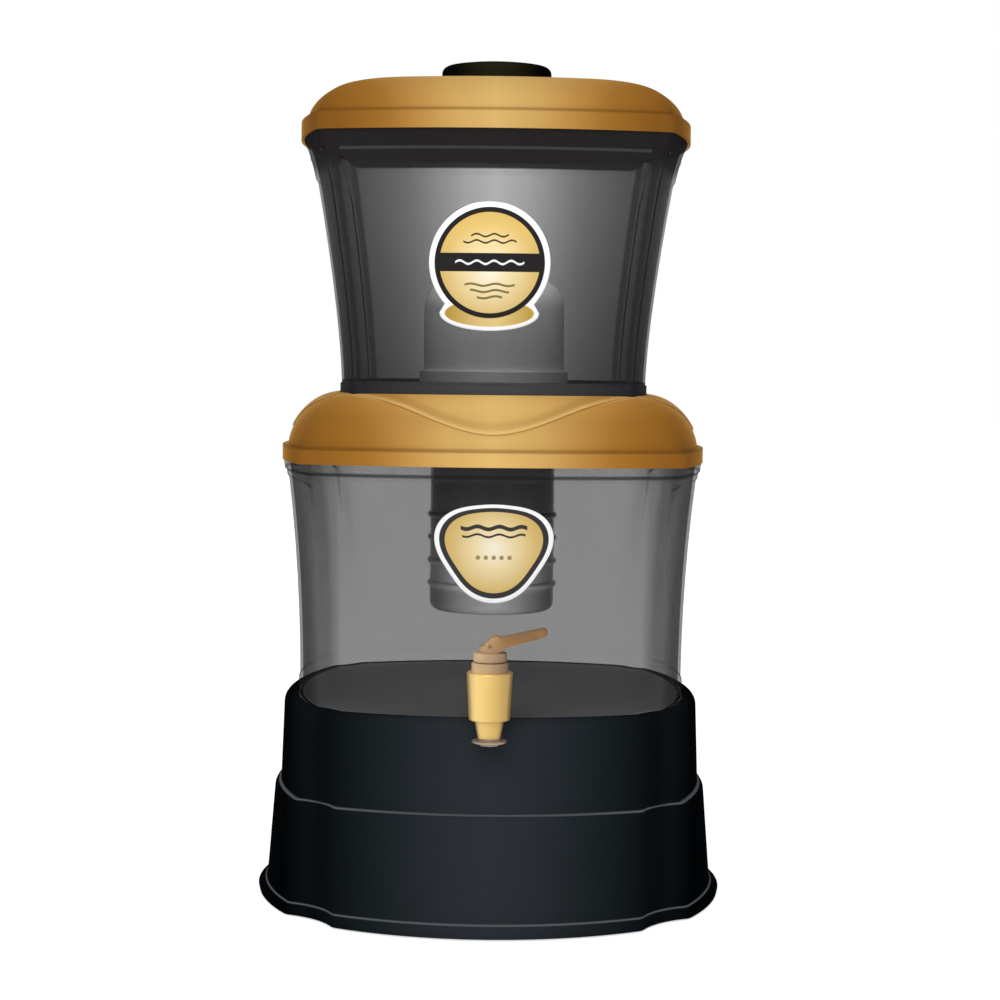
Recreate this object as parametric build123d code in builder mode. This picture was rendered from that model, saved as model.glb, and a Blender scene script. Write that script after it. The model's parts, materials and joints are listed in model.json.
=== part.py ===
"""Gravity water filter: two smoked tanks stacked on a stand, with two lids and a tap.

Sizes are in millimetres. Z is up, the tap is at the front on the -Y side, and the
origin is on the table under the middle of the stand. From the table up the stack is
the stand, the lower tank with its tap, the middle lid, the upper tank with the
ceramic dome and the mineral cartridge under it, and the top lid with its knob.
"""

from build123d import *
from math import atan2, cos, pi, radians, sin, sqrt
import os

# ---------------------------------------------------------------- shared clearances
RUNNING_FIT = 0.05  # radial gap of a part that turns or slides in its bore
LOOSE_FIT = 0.3  # gap at parts that lie close but must not rub
SEAT_GAP = 0.8  # gap around a tank or a lid plug in its seat
LEAST_ROUND = 1.0  # smallest corner radius of an outline that is moved in

# ---------------------------------------------------------------- stand
FEET_SHOW = 1.0  # rubber feet standing out below the skirt
FOOT_RADIUS = 9.0
FOOT_THICK = 4.0
FOOT_INSET = 12.08  # from the chord across the lower tier's corner to each foot, in X and in Y
FOOT_BOSS_WALL = 3.0
FOOT_BOSS_HEIGHT = 24.0
FOOT_CHAMFER = 0.5
STAND_WALL = 3.0
STAND_HEIGHT = 137.0
SKIRT_HEIGHT = 9.0
SKIRT_FLARE = 6.2  # how far the skirt stands out from the foot of the lower tier
SKIRT_TUCK = 0.8  # how far the foot of the skirt is drawn in
SKIRT_EDGE = 3.0  # height of the skirt's upright edge
SKIRT_BEND = 0.4  # share of the skirt's flare left halfway up
LEDGE_Z = 77.0
TIER_FOOT_HALF = 152.4  # half width of the lower tier where it leaves the skirt
TIER_TOP_HALF = 147.6  # half width of the lower tier at the ledge
COLLAR_FOOT_HALF = 143.4  # half width of the upper tier at the ledge
COLLAR_TOP_HALF = 141.6
LEDGE_ROUND = 6.0
SHOULDER_ROUND = 8.0
COLLAR_LIP_SET = 20.0  # how far the end of each bowed side lies inside the half width
COLLAR_LAND = 98.0  # half length of each bowed side
COLLAR_SCOOP = 2.5  # depth of the cove in each corner
TIER_LIP = 127.0  # end of each bowed side of the lower tier, at the ledge
TIER_LIP_GAIN = 0.45  # how fast that end moves out as the tier widens towards its foot
TIER_LAND = 99.0
TIER_SCOOP = 5.0
STAND_CORNER_RADIUS = 8.0
SEAT_DEPTH = 5.0  # depth of the lower tank in the stand
DECK_THICK = 4.0
DECK_RIB = 3.0
DECK_RIB_DEPTH = 6.0
DECK_RIB_PITCH = 56.0

# ---------------------------------------------------------------- lower tank
LOWER_HEIGHT = 164.0
LOWER_WALL = 3.0
LOWER_FLOOR = 4.0
LOWER_FOOT_HALF = 131.9
LOWER_FLARE = 10.0  # how much wider each half is at the mouth
LOWER_FLARE_POWER = 2.2
LOWER_LIP_SHARE = 0.86  # end of each bowed side, as a share of the half width
LOWER_FOOT_STRIP = 18.0  # width of the corner strip at the foot
LOWER_MOUTH_STRIP = 5.0
LOWER_COVE = 0.12  # depth of the cove in each corner strip, as a share of its width
LOWER_CORNER_RADIUS = 3.5
LOWER_RIM_HEIGHT = 6.0
LOWER_RIM_OUT = 1.1
PANEL_DEPTH = 1.0  # how deep the panel on each tank face lies
PANEL_CORNER = 6.0
PANEL_SHARE = 0.835  # half width of a panel as a share of the tank's half width
LOWER_PANEL_TOP_GAP = 5.0
LOWER_PANEL_FOOT_GAP = 14.0

# ---------------------------------------------------------------- middle lid
LID_WALL = 3.0
LID_CORNER_SHARE = 0.86
LID_RIM_ROUND = 10.0  # corner radius of a lid at its rim
MIDDLE_RIM_HEIGHT = 9.5
MIDDLE_RIM_HALF = 143.6
MIDDLE_DOME_HALF = 139.8
MIDDLE_CROWN_HALF = 104.0
MIDDLE_DOME_HEIGHT = 35.5
MIDDLE_DOME_POWER = 1.25  # fullness of the dome between the rim and the crown
MIDDLE_CROWN_ROUND = 36.0
PLUG_DEPTH = 10.0
PLUG_WALL = 2.5
POCKET_DEPTH = 11.0  # depth of the seat for the upper tank below the crown
CARTRIDGE_GAP = 3.5  # room around the cartridge where it passes through the lid
HOLE_COLLAR_DEPTH = 8.0
SWAG_STEP = 1.2  # how far the draped step stands out of each lid face
SWAG_HALF = 102.0  # half width of the drape at the crown
SWAG_SHOULDER = 57.0  # half width of the drape at its shoulder
SWAG_SHOULDER_DROP = 8.2  # how far it hangs below the crown at the shoulder
SWAG_DROP = 24.5  # and at the middle

# ---------------------------------------------------------------- upper tank
UPPER_HEIGHT = 180.0
UPPER_WALL = 2.6
UPPER_FLOOR = 4.0
UPPER_FOOT_DEPTH = 13.0  # height of the skirt below the floor
UPPER_FOOT_HALF = 105.1
UPPER_FLARE = 22.3
UPPER_FLARE_POWER = 1.42
UPPER_CORNER_SHARE = 0.865
UPPER_CORNER_RADIUS = 5.0
UPPER_LIP_HEIGHT = 25.0  # height of the mouth band that flares out more
UPPER_LIP_FLARE = 3.2
UPPER_BEAD_DROP = 12.5  # bead on the mouth band, below the rim
UPPER_BEAD_HEIGHT = 1.4
UPPER_BEAD_OUT = 0.7

# ---------------------------------------------------------------- top lid and knob
TOP_RIM_HEIGHT = 11.5
TOP_RIM_HALF = 132.7
TOP_DOME_HALF = 128.5
TOP_DOME_HEIGHT = 28.5
TOP_CROWN_ROUND = 30.0
DOME_POWER = 0.4  # squareness of the domed top
DOME_SPAN = 0.84  # part of the quarter turn that the dome covers before its flatter crown
KNOB_SEAT_HALF = 42.0  # half width of the flat under the knob
KNOB_RADIUS = 37.6
KNOB_HEIGHT = 16.0
KNOB_WALL = 3.0
KNOB_EDGE = 5.0
KNOB_CROWN = 1.6
KNOB_TOP_SLOPE = 0.2  # rise of the crowned top per unit length at its edge
KNOB_BOSS_RADIUS = 7.0
SCREW_RADIUS = 2.5
SCREW_HEAD_RADIUS = 5.0
SCREW_HEAD_HEIGHT = 3.0
SCREW_HEAD_ROUND = 1.0
SCREW_GRIP = 9.0  # length of the screw in the knob

# ---------------------------------------------------------------- ceramic dome
CERAMIC_RADIUS = 48.3
CERAMIC_HEIGHT = 67.0
CERAMIC_WALL = 8.5
CERAMIC_SHOULDER = 21.0
DOME_RIM_WALL = 2.9
DOME_RIM_HEIGHT = 2.6  # rim around the foot of the ceramic
DOME_BASE_FLOOR = 5.5
WASHER_RADIUS = 18.0
WASHER_THICK = 2.5
STEM_RADIUS = 8.0
STEM_BORE = 4.0
STEM_DROP = 25.0  # length of the threaded stem below the tank floor
NUT_ACROSS_FLATS = 30.0
NUT_THICK = 7.0
NUT_CHAMFER = 1.0

# ---------------------------------------------------------------- mineral cartridge
CARTRIDGE_RADIUS = 42.7
CARTRIDGE_WALL = 3.5
CARTRIDGE_NECK_WALL = 1.9
CARTRIDGE_NECK_HEIGHT = 11.0
STAGE_NAMES = ("ceramic_ball_bed", "silica_bed", "zeolite_bed", "mineral_bed", "carbon_bed")
STAGE_PITCH = 15.8
SCREEN_THICK = 1.0
GRILLE_FLOOR = 2.7
GRILLE_HEIGHT = 8.0
GRILLE_ROUND = 6.0
GRILLE_SLOT = (15.0, 3.0)
GRILLE_SLOT_COUNT = 12
RING_PROUD = 1.9  # snap rings around the housing, one at each screen
RING_HEIGHT = 4.0
CAP_SKIRT = 6.0  # how far the cap reaches down past the top bed
CAP_HEAD = 40.3  # head room for water above the top bed
CAP_SLOPE = 10.0  # height of the cap's sloping shoulder
CAP_WALL = 3.0
CAP_NECK_RADIUS = 12.5
SEAL_THICK = 2.0

# ---------------------------------------------------------------- tap
TAP_RISE = 20.5  # shank axis above the floor of the lower tank
TAP_REACH = 26.0  # barrel axis in front of the flat boss on the tank
TAP_STAND_GAP = 3.0  # least room between the spout's ring and the stand's collar
BOSS_RADIUS = 15.5
BOSS_OUT = 1.6
BOSS_IN = 1.0
SHANK_RADIUS = 7.0
SHANK_BORE = 4.5
SHANK_LENGTH = 20.0  # inside the tank, from the flat boss
FLANGE_RADIUS = 13.4
FLANGE_THICK = 2.6
ARM_RADIUS = 9.0
TAP_WASHER_RADIUS = 13.0
TAP_WASHER_THICK = 2.0
TAP_NUT_ACROSS_FLATS = 22.0
TAP_NUT_THICK = 7.0
BARREL_FOOT_RADIUS = 12.8
BARREL_TOP_RADIUS = 14.5
BARREL_RISE = 13.5  # barrel top above the shank axis
BARREL_DROP = 17.0  # barrel foot below the shank axis
BARREL_EDGE = 1.4
SPOUT_TOP_RADIUS = 9.2
SPOUT_TIP_RADIUS = 6.8
SPOUT_LENGTH = 12.6
CHAMBER_RADIUS = 8.2
SEAT_BELOW_AXIS = 10.5
OUTLET_RADIUS = 4.5
SPOUT_RING_RADIUS = 10.8
SPOUT_RING_THICK = 1.4
SPOUT_RING_ROUND = 0.45
SPOUT_NOSE_RADIUS = 6.2
SPOUT_NOSE_LENGTH = 1.6
SPOUT_SLEEVE_LENGTH = 4.0
SPOUT_SLEEVE_WALL = 0.9
BONNET_RADIUS = 11.5
BONNET_HEIGHT = 5.8
BONNET_PLUG_DEPTH = 9.0
BONNET_PLUG_WALL = 1.5
BONNET_CROWN = 2.6  # depth of the bonnet top below the barrel top that the spring meets
NECK_RADIUS = 6.0
NECK_HEIGHT = 3.4
SWIVEL_RADIUS = 10.7
SWIVEL_HEIGHT = 6.2
ROD_RADIUS = 3.0
ROD_FLANGE_RADIUS = 6.0
ROD_FLANGE_THICK = 1.5
ROD_FLANGE_RISE = 4.0  # underside of the flange above the seat seal
ROD_NOSE_RADIUS = 1.9
BLADE_THICK = 4.4  # flattened top of the stem, in the fork of the lever
SEAL_RADIUS = 6.4
SEAT_SEAL_THICK = 3.5
SPRING_TURNS = 5
SPRING_RADIUS = 4.7
SPRING_WIRE = 0.5
PIN_RADIUS = 1.2
PIN_RISE = 4.2  # lever pin above the swivel collar
LEVER_REST = 14.5  # degrees that the lever points up at rest
HEEL_OFFSET = 4.0  # pin to the centre of the heel
HEEL_ANGLE = 15.0  # degrees that the heel centre lies above the pin at rest
HEEL_CLEAR = 0.05
HUB_HALF = 6.8
HUB_RADIUS = 3.4
LEVER_THICK = 4.6
LEVER_REACH = 36.0
FORK_SLOT = 12.6  # length of the slot in the lever

# ---------------------------------------------------------------- levels of the stack
DECK_Z = STAND_HEIGHT - SEAT_DEPTH
LOWER_FLOOR_Z = DECK_Z + LOWER_FLOOR
LOWER_TOP_Z = DECK_Z + LOWER_HEIGHT
LOWER_RIM_Z = LOWER_TOP_Z - LOWER_RIM_HEIGHT
MIDDLE_DOME_Z = LOWER_TOP_Z + MIDDLE_RIM_HEIGHT
CROWN_Z = MIDDLE_DOME_Z + MIDDLE_DOME_HEIGHT
POCKET_Z = CROWN_Z - POCKET_DEPTH
UPPER_UNDER_Z = POCKET_Z + UPPER_FOOT_DEPTH
UPPER_FLOOR_Z = UPPER_UNDER_Z + UPPER_FLOOR
UPPER_TOP_Z = POCKET_Z + UPPER_HEIGHT
UPPER_LIP_Z = UPPER_TOP_Z - UPPER_LIP_HEIGHT
TOP_DOME_Z = UPPER_TOP_Z + TOP_RIM_HEIGHT
TOP_FLAT_Z = TOP_DOME_Z + TOP_DOME_HEIGHT
STEM_END_Z = UPPER_UNDER_Z - STEM_DROP
LOFT_STEPS = 6
TOP_LOFT_STEPS = 8


# ---------------------------------------------------------------- outlines
def closed_arcs(corner_arcs, radius):
    """Join the arcs, turned to all four sides, and round the corners where they meet."""
    with BuildSketch() as plan:
        with BuildLine():
            for turn in range(4):
                for arc in corner_arcs:
                    ThreePointArc(*(Vector(*point).rotate(Axis.Z, 90 * turn) for point in arc))
        make_face()
        fillet(plan.vertices(), radius)
    return plan.sketch


def moved_in(point, half, next_side, inset):
    """Corner point after both sides that meet there have moved in by inset.

    The bowed side ends at point, half is the half width at its middle, and next_side is
    the angle in radians that the other side's outward normal makes with the X axis.
    """
    bow = 2 * atan2(half - point[0], point[1])
    share = inset / (1 + cos(next_side - bow))
    x = point[0] - share * (cos(bow) + cos(next_side))
    y = point[1] - share * (sin(bow) + sin(next_side))
    return x, y


def bowed_square(half, corner, radius, inset=0.0):
    """Four bowed sides, half apart from the middle, that meet at a rounded corner."""
    bow = 2 * atan2(half - corner, corner)
    x, y = moved_in((corner, corner), half, pi / 2 - bow, inset)
    side = (x, -y), (half - inset, 0), (x, y)
    return closed_arcs([side], max(radius - inset, LEAST_ROUND))


def coved_square(half, lip, land, scoop, radius, inset=0.0):
    """Four bowed sides that end at (lip, land), with a shallow cove across each corner."""
    x, y = moved_in((lip, land), half, pi / 4, inset)
    dip = (x + y) / 2 - scoop / sqrt(2)
    side = (x, -y), (half - inset, 0), (x, y)
    cove = (x, y), (dip, dip), (y, x)
    return closed_arcs([side, cove], max(radius - inset, LEAST_ROUND))


def tier_lip(half):
    """Distance from the middle to the end of each bowed side of the lower tier."""
    return TIER_LIP + TIER_LIP_GAIN * (half - TIER_TOP_HALF)


def tier_plan(half, inset=0.0):
    """Outline of the stand's lower tier where its sides are half from the middle."""
    return coved_square(half, tier_lip(half), TIER_LAND, TIER_SCOOP, STAND_CORNER_RADIUS, inset)


def collar_plan(half, inset=0.0):
    """Outline of the stand's collar, which wraps the foot of the lower tank."""
    lip = half - COLLAR_LIP_SET
    return coved_square(half, lip, COLLAR_LAND, COLLAR_SCOOP, STAND_CORNER_RADIUS, inset)


def lower_half(z):
    """Half width of the lower tank at height z."""
    rise = (z - DECK_Z) / LOWER_HEIGHT
    return LOWER_FOOT_HALF + LOWER_FLARE * rise**LOWER_FLARE_POWER


def lower_plan(z, inset=0.0):
    """Outline of the lower tank at height z, with a corner strip that narrows upwards."""
    rise = (z - DECK_Z) / LOWER_HEIGHT
    half = lower_half(z)
    lip = LOWER_LIP_SHARE * half
    strip = LOWER_FOOT_STRIP + (LOWER_MOUTH_STRIP - LOWER_FOOT_STRIP) * rise
    return coved_square(half, lip, lip - strip, LOWER_COVE * strip, LOWER_CORNER_RADIUS, inset)


def upper_half(z):
    """Half width of the upper tank at height z: upright foot, flared wall, wider lip."""
    rise = max(0.0, z - UPPER_FLOOR_Z) / (UPPER_TOP_Z - UPPER_FLOOR_Z)
    lip_rise = max(0.0, z - UPPER_LIP_Z) / UPPER_LIP_HEIGHT
    return UPPER_FOOT_HALF + UPPER_FLARE * rise**UPPER_FLARE_POWER + UPPER_LIP_FLARE * lip_rise**3


def upper_plan(z, inset=0.0):
    """Outline of the upper tank at height z."""
    half = upper_half(z)
    return bowed_square(half, UPPER_CORNER_SHARE * half, UPPER_CORNER_RADIUS, inset)


def lid_plan(half, radius, inset=0.0):
    """Outline of a lid whose sides are half from the middle."""
    return bowed_square(half, LID_CORNER_SHARE * half, radius, inset)


def steps(low, high, count=LOFT_STEPS):
    """Heights from low to high in equal steps, both ends included."""
    return [low + (high - low) * step / count for step in range(count + 1)]


def lofted(outlines):
    """Smooth solid through (height, outline) pairs, from the lowest to the highest."""
    with BuildPart() as body:
        for z, outline in outlines:
            with BuildSketch(Plane.XY.offset(z)):
                add(outline)
        loft()
    return body.part


def lower_body(low, high, inset=0.0):
    """Lower tank as a full solid between two heights."""
    return lofted([(z, lower_plan(z, inset)) for z in steps(low, high)])


def upper_body(low, high, inset=0.0):
    """Upper tank as a full solid between two heights."""
    return lofted([(z, upper_plan(z, inset)) for z in steps(low, high)])


def around(front_piece):
    """The piece of the front face and its copies on the other three faces."""
    with BuildPart() as pieces:
        for turn in range(4):
            add(front_piece.rotate(Axis.Z, 90 * turn))
    return pieces.part


def face_panels(tank_body, half_at, low, high):
    """What is cut away to sink a panel into each face of a tank between two heights."""
    with BuildPart() as panel:
        with BuildSketch(Plane.XZ.offset(PANEL_SHARE * half_at(low))) as window:
            with BuildLine():
                right = [(PANEL_SHARE * half_at(z), z) for z in steps(low, high, 4)]
                left = [(-x, z) for x, z in right]
                Spline(*right)
                Spline(*left)
                Line(left[0], right[0])
                Line(left[-1], right[-1])
            make_face()
            fillet(window.vertices(), PANEL_CORNER)
        extrude(amount=half_at(high))
        add(tank_body(low, high, PANEL_DEPTH), mode=Mode.SUBTRACT)
    return around(panel.part)


def turned(profile, axis=Axis.Z, plane=Plane.XZ):
    """Solid of revolution of a closed outline through (radius, height) points."""
    with BuildPart() as body:
        with BuildSketch(plane):
            with BuildLine():
                Polyline(*profile, close=True)
            make_face()
        revolve(axis=axis)
    return body.part


# ---------------------------------------------------------------- stand
def rounded_edge(z, half, radius):
    """Stand outlines of a quarter-round edge that starts at height z."""
    turns = (radians(angle) for angle in (0, 22.5, 45, 67.5, 90))
    return [(z + radius * sin(turn), half - radius * (1 - cos(turn))) for turn in turns]


def stand_span(plan, levels, inset=0.0):
    """Full solid through (height, half width) levels of the stand."""
    return lofted([(z, plan(half, inset)) for z, half in levels])


ledge_low_z = LEDGE_Z - LEDGE_ROUND
shoulder_low_z = STAND_HEIGHT - SHOULDER_ROUND
skirt_top_z = FEET_SHOW + SKIRT_HEIGHT
skirt_wide_z = FEET_SHOW + SKIRT_EDGE
skirt_bend_z = (skirt_wide_z + skirt_top_z) / 2
skirt_half = TIER_FOOT_HALF + SKIRT_FLARE
skirt_bend_half = TIER_FOOT_HALF + SKIRT_FLARE * SKIRT_BEND
tier_spans = [
    [(FEET_SHOW, skirt_half - SKIRT_TUCK), (skirt_wide_z, skirt_half)],
    [(skirt_wide_z, skirt_half), (skirt_bend_z, skirt_bend_half)],
    [(skirt_bend_z, skirt_bend_half), (skirt_top_z, TIER_FOOT_HALF)],
    [(skirt_top_z, TIER_FOOT_HALF), (ledge_low_z, TIER_TOP_HALF)],
    rounded_edge(ledge_low_z, TIER_TOP_HALF, LEDGE_ROUND),
]
collar_spans = [
    [(LEDGE_Z, COLLAR_FOOT_HALF), (shoulder_low_z, COLLAR_TOP_HALF)],
    rounded_edge(shoulder_low_z, COLLAR_TOP_HALF, SHOULDER_ROUND),
]
with BuildPart() as stand_outside:
    add([stand_span(tier_plan, levels) for levels in tier_spans])
    add([stand_span(collar_plan, levels) for levels in collar_spans])
with BuildPart() as stand_hollow:
    tier_bore = [(0.0, TIER_FOOT_HALF), (ledge_low_z, TIER_TOP_HALF)]
    collar_bore = [(ledge_low_z, COLLAR_FOOT_HALF), (DECK_Z - DECK_THICK, COLLAR_TOP_HALF)]
    add(stand_span(tier_plan, tier_bore, STAND_WALL))
    add(stand_span(collar_plan, collar_bore, STAND_WALL))
tank_seat = lower_body(DECK_Z, STAND_HEIGHT + LOOSE_FIT, -SEAT_GAP)
boss_radius = FOOT_RADIUS + RUNNING_FIT + FOOT_BOSS_WALL
foot_spread = (tier_lip(TIER_FOOT_HALF) + TIER_LAND) / 2 - FOOT_INSET

with BuildPart() as stand_inside:  # ribs under the deck and bosses for the feet
    with BuildSketch(Plane.XY.offset(DECK_Z - DECK_THICK)):
        with GridLocations(0, DECK_RIB_PITCH, 1, 3):
            Rectangle(2 * COLLAR_TOP_HALF, DECK_RIB)
        with GridLocations(DECK_RIB_PITCH, 0, 3, 1):
            Rectangle(DECK_RIB, 2 * COLLAR_TOP_HALF)
    extrude(amount=-DECK_RIB_DEPTH)
    with BuildSketch(Plane.XY.offset(FEET_SHOW)):
        with GridLocations(2 * foot_spread, 2 * foot_spread, 2, 2):
            Circle(boss_radius)
    extrude(amount=FOOT_BOSS_HEIGHT)
    add(stand_hollow.part, mode=Mode.INTERSECT)

with BuildPart() as stand_shell:
    add(stand_outside.part)
    add(stand_hollow.part, mode=Mode.SUBTRACT)
    add(tank_seat, mode=Mode.SUBTRACT)
    add(stand_inside.part)
    with BuildSketch(Plane.XY):
        with GridLocations(2 * foot_spread, 2 * foot_spread, 2, 2):
            Circle(FOOT_RADIUS + RUNNING_FIT)
    extrude(amount=FOOT_THICK, mode=Mode.SUBTRACT)

with BuildPart() as stand_feet:
    with BuildSketch():
        with GridLocations(2 * foot_spread, 2 * foot_spread, 2, 2):
            Circle(FOOT_RADIUS)
    extrude(amount=FOOT_THICK)
    chamfer(stand_feet.faces().sort_by(Axis.Z)[0:4].edges(), FOOT_CHAMFER)


# ---------------------------------------------------------------- lower tank
SHANK_Z = LOWER_FLOOR_Z + TAP_RISE
BOSS_FACE_Y = -(lower_half(SHANK_Z) + BOSS_OUT)
BOSS_INNER_Y = BOSS_FACE_Y + BOSS_OUT + LOWER_WALL + BOSS_IN
spout_reach = BOSS_FACE_Y + COLLAR_TOP_HALF + TAP_STAND_GAP + SPOUT_RING_RADIUS
tap_reach = max(TAP_REACH, spout_reach)  # the spout clears the stand's collar
TAP_Y = BOSS_FACE_Y - tap_reach


def along_y(start, radius, length):
    """Round bar on the shank axis from start towards the back of the filter."""
    with BuildPart() as bar:
        with BuildSketch(Plane.XZ.offset(-start)):
            with Locations((0, SHANK_Z)):
                Circle(radius)
        extrude(amount=-length)
    return bar.part


lower_panels = face_panels(
    lower_body, lower_half, DECK_Z + LOWER_PANEL_FOOT_GAP, LOWER_RIM_Z - LOWER_PANEL_TOP_GAP
)

with BuildPart() as lower_tank:
    add(lower_body(DECK_Z, LOWER_TOP_Z))
    add(lower_panels, mode=Mode.SUBTRACT)
    add(lower_body(LOWER_RIM_Z, LOWER_TOP_Z, -LOWER_RIM_OUT))
    add(lower_body(LOWER_FLOOR_Z, LOWER_TOP_Z, LOWER_WALL), mode=Mode.SUBTRACT)
    add(along_y(BOSS_FACE_Y, BOSS_RADIUS, BOSS_OUT + LOWER_WALL + BOSS_IN))
    add(along_y(TAP_Y, SHANK_RADIUS + LOOSE_FIT, tap_reach + SHANK_LENGTH), mode=Mode.SUBTRACT)


# ---------------------------------------------------------------- tap
tap_plane = Plane.XZ.offset(-TAP_Y)
tap_axis = Axis((0, TAP_Y, 0), (0, 0, 1))
BARREL_TOP_Z = SHANK_Z + BARREL_RISE
BARREL_FOOT_Z = SHANK_Z - BARREL_DROP
SPOUT_END_Z = BARREL_FOOT_Z - SPOUT_LENGTH
SEAT_Z = SHANK_Z - SEAT_BELOW_AXIS
BONNET_TOP_Z = BARREL_TOP_Z + BONNET_HEIGHT
SWIVEL_TOP_Z = BONNET_TOP_Z + SWIVEL_HEIGHT
PIN_Z = SWIVEL_TOP_Z + PIN_RISE
FLANGE_Y = BOSS_FACE_Y - TAP_WASHER_THICK  # face of the flange on the outer washer
HEEL_RADIUS = PIN_RISE + HEEL_OFFSET * sin(radians(HEEL_ANGLE)) - HEEL_CLEAR
STEM_TRAVEL = 2 * HEEL_OFFSET * sin(radians(HEEL_ANGLE))  # lift of the stem as the heel rolls over
BLADE_Z = SWIVEL_TOP_Z - STEM_TRAVEL - LOOSE_FIT


def tap_disc(z, radius, bore, height):
    """Ring on the tap's upright axis, from height z up."""
    with BuildPart() as disc:
        with BuildSketch(Plane.XY.offset(z)):
            with Locations((0, TAP_Y)):
                Circle(radius)
                Circle(bore, mode=Mode.SUBTRACT)
        extrude(amount=height)
    return disc.part


with BuildPart() as tap_body:
    with BuildSketch(tap_plane):
        with BuildLine():
            Polyline(
                (0, SPOUT_END_Z),
                (SPOUT_TIP_RADIUS, SPOUT_END_Z),
                (SPOUT_TOP_RADIUS, BARREL_FOOT_Z),
                (BARREL_FOOT_RADIUS, BARREL_FOOT_Z),
                (BARREL_TOP_RADIUS, BARREL_TOP_Z),
                (0, BARREL_TOP_Z),
                close=True,
            )
        make_face()
    revolve(axis=tap_axis)
    rims = tap_body.edges().filter_by(GeomType.CIRCLE).group_by(SortBy.RADIUS)
    fillet(rims[-1] + rims[-2], BARREL_EDGE)
    add(along_y(TAP_Y, ARM_RADIUS, FLANGE_Y - TAP_Y))
    add(along_y(FLANGE_Y - FLANGE_THICK, FLANGE_RADIUS, FLANGE_THICK))
    add(along_y(FLANGE_Y, SHANK_RADIUS, SHANK_LENGTH + TAP_WASHER_THICK))
    add(along_y(TAP_Y, SHANK_BORE, tap_reach + SHANK_LENGTH), mode=Mode.SUBTRACT)
    with BuildSketch(Plane.XY.offset(BARREL_TOP_Z)):
        with Locations((0, TAP_Y)):
            Circle(CHAMBER_RADIUS)
    extrude(amount=SEAT_Z - BARREL_TOP_Z, mode=Mode.SUBTRACT)
    with BuildSketch(Plane.XY.offset(SEAT_Z)):
        with Locations((0, TAP_Y)):
            Circle(OUTLET_RADIUS)
    extrude(amount=SPOUT_END_Z - SEAT_Z, mode=Mode.SUBTRACT)

with BuildPart() as tap_outer_washer:
    with BuildSketch(Plane.XZ.offset(-FLANGE_Y)):
        with Locations((0, SHANK_Z)):
            Circle(TAP_WASHER_RADIUS)
            Circle(SHANK_RADIUS + RUNNING_FIT, mode=Mode.SUBTRACT)
    extrude(amount=-TAP_WASHER_THICK)

with BuildPart() as tap_inner_washer:
    with BuildSketch(Plane.XZ.offset(-BOSS_INNER_Y)):
        with Locations((0, SHANK_Z)):
            Circle(TAP_WASHER_RADIUS)
            Circle(SHANK_RADIUS + RUNNING_FIT, mode=Mode.SUBTRACT)
    extrude(amount=-TAP_WASHER_THICK)

with BuildPart() as tap_nut:
    with BuildSketch(Plane.XZ.offset(-BOSS_INNER_Y - TAP_WASHER_THICK)):
        with Locations((0, SHANK_Z)):
            RegularPolygon(TAP_NUT_ACROSS_FLATS / 2, 6, major_radius=False)
            Circle(SHANK_RADIUS + RUNNING_FIT, mode=Mode.SUBTRACT)
    extrude(amount=-TAP_NUT_THICK)

with BuildPart() as tap_spout_ring:
    add(tap_disc(SPOUT_END_Z - SPOUT_RING_THICK, SPOUT_RING_RADIUS, OUTLET_RADIUS, SPOUT_RING_THICK))
    fillet(tap_spout_ring.edges().filter_by(GeomType.CIRCLE).group_by(SortBy.RADIUS)[-1],
           SPOUT_RING_ROUND)
    nose_z = SPOUT_END_Z - SPOUT_RING_THICK - SPOUT_NOSE_LENGTH
    add(tap_disc(nose_z, SPOUT_NOSE_RADIUS, OUTLET_RADIUS, SPOUT_NOSE_LENGTH))
    sleeve_radius = OUTLET_RADIUS - RUNNING_FIT
    sleeve_height = SPOUT_SLEEVE_LENGTH + SPOUT_RING_THICK + SPOUT_NOSE_LENGTH
    add(tap_disc(nose_z, sleeve_radius + RUNNING_FIT, sleeve_radius - SPOUT_SLEEVE_WALL,
                 SPOUT_RING_THICK + SPOUT_NOSE_LENGTH))
    add(tap_disc(nose_z, sleeve_radius, sleeve_radius - SPOUT_SLEEVE_WALL, sleeve_height))

with BuildPart() as tap_bonnet:
    plug_radius = CHAMBER_RADIUS - RUNNING_FIT
    plug_bore = plug_radius - BONNET_PLUG_WALL
    rod_bore = ROD_RADIUS + RUNNING_FIT
    crown_z = BARREL_TOP_Z - BONNET_CROWN
    add(turned(
        [
            (rod_bore, crown_z),
            (plug_bore, crown_z),
            (plug_bore, BARREL_TOP_Z - BONNET_PLUG_DEPTH),
            (plug_radius, BARREL_TOP_Z - BONNET_PLUG_DEPTH),
            (plug_radius, BARREL_TOP_Z),
            (BONNET_RADIUS, BARREL_TOP_Z),
            (BONNET_RADIUS, BONNET_TOP_Z),
            (NECK_RADIUS, BONNET_TOP_Z),
            (NECK_RADIUS, BONNET_TOP_Z + NECK_HEIGHT),
            (rod_bore, BONNET_TOP_Z + NECK_HEIGHT),
        ],
        tap_axis,
        tap_plane,
    ))
    fillet(tap_bonnet.edges().filter_by(GeomType.CIRCLE).group_by(SortBy.RADIUS)[-1]
           .sort_by(Axis.Z)[-1], BARREL_EDGE)

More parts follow.
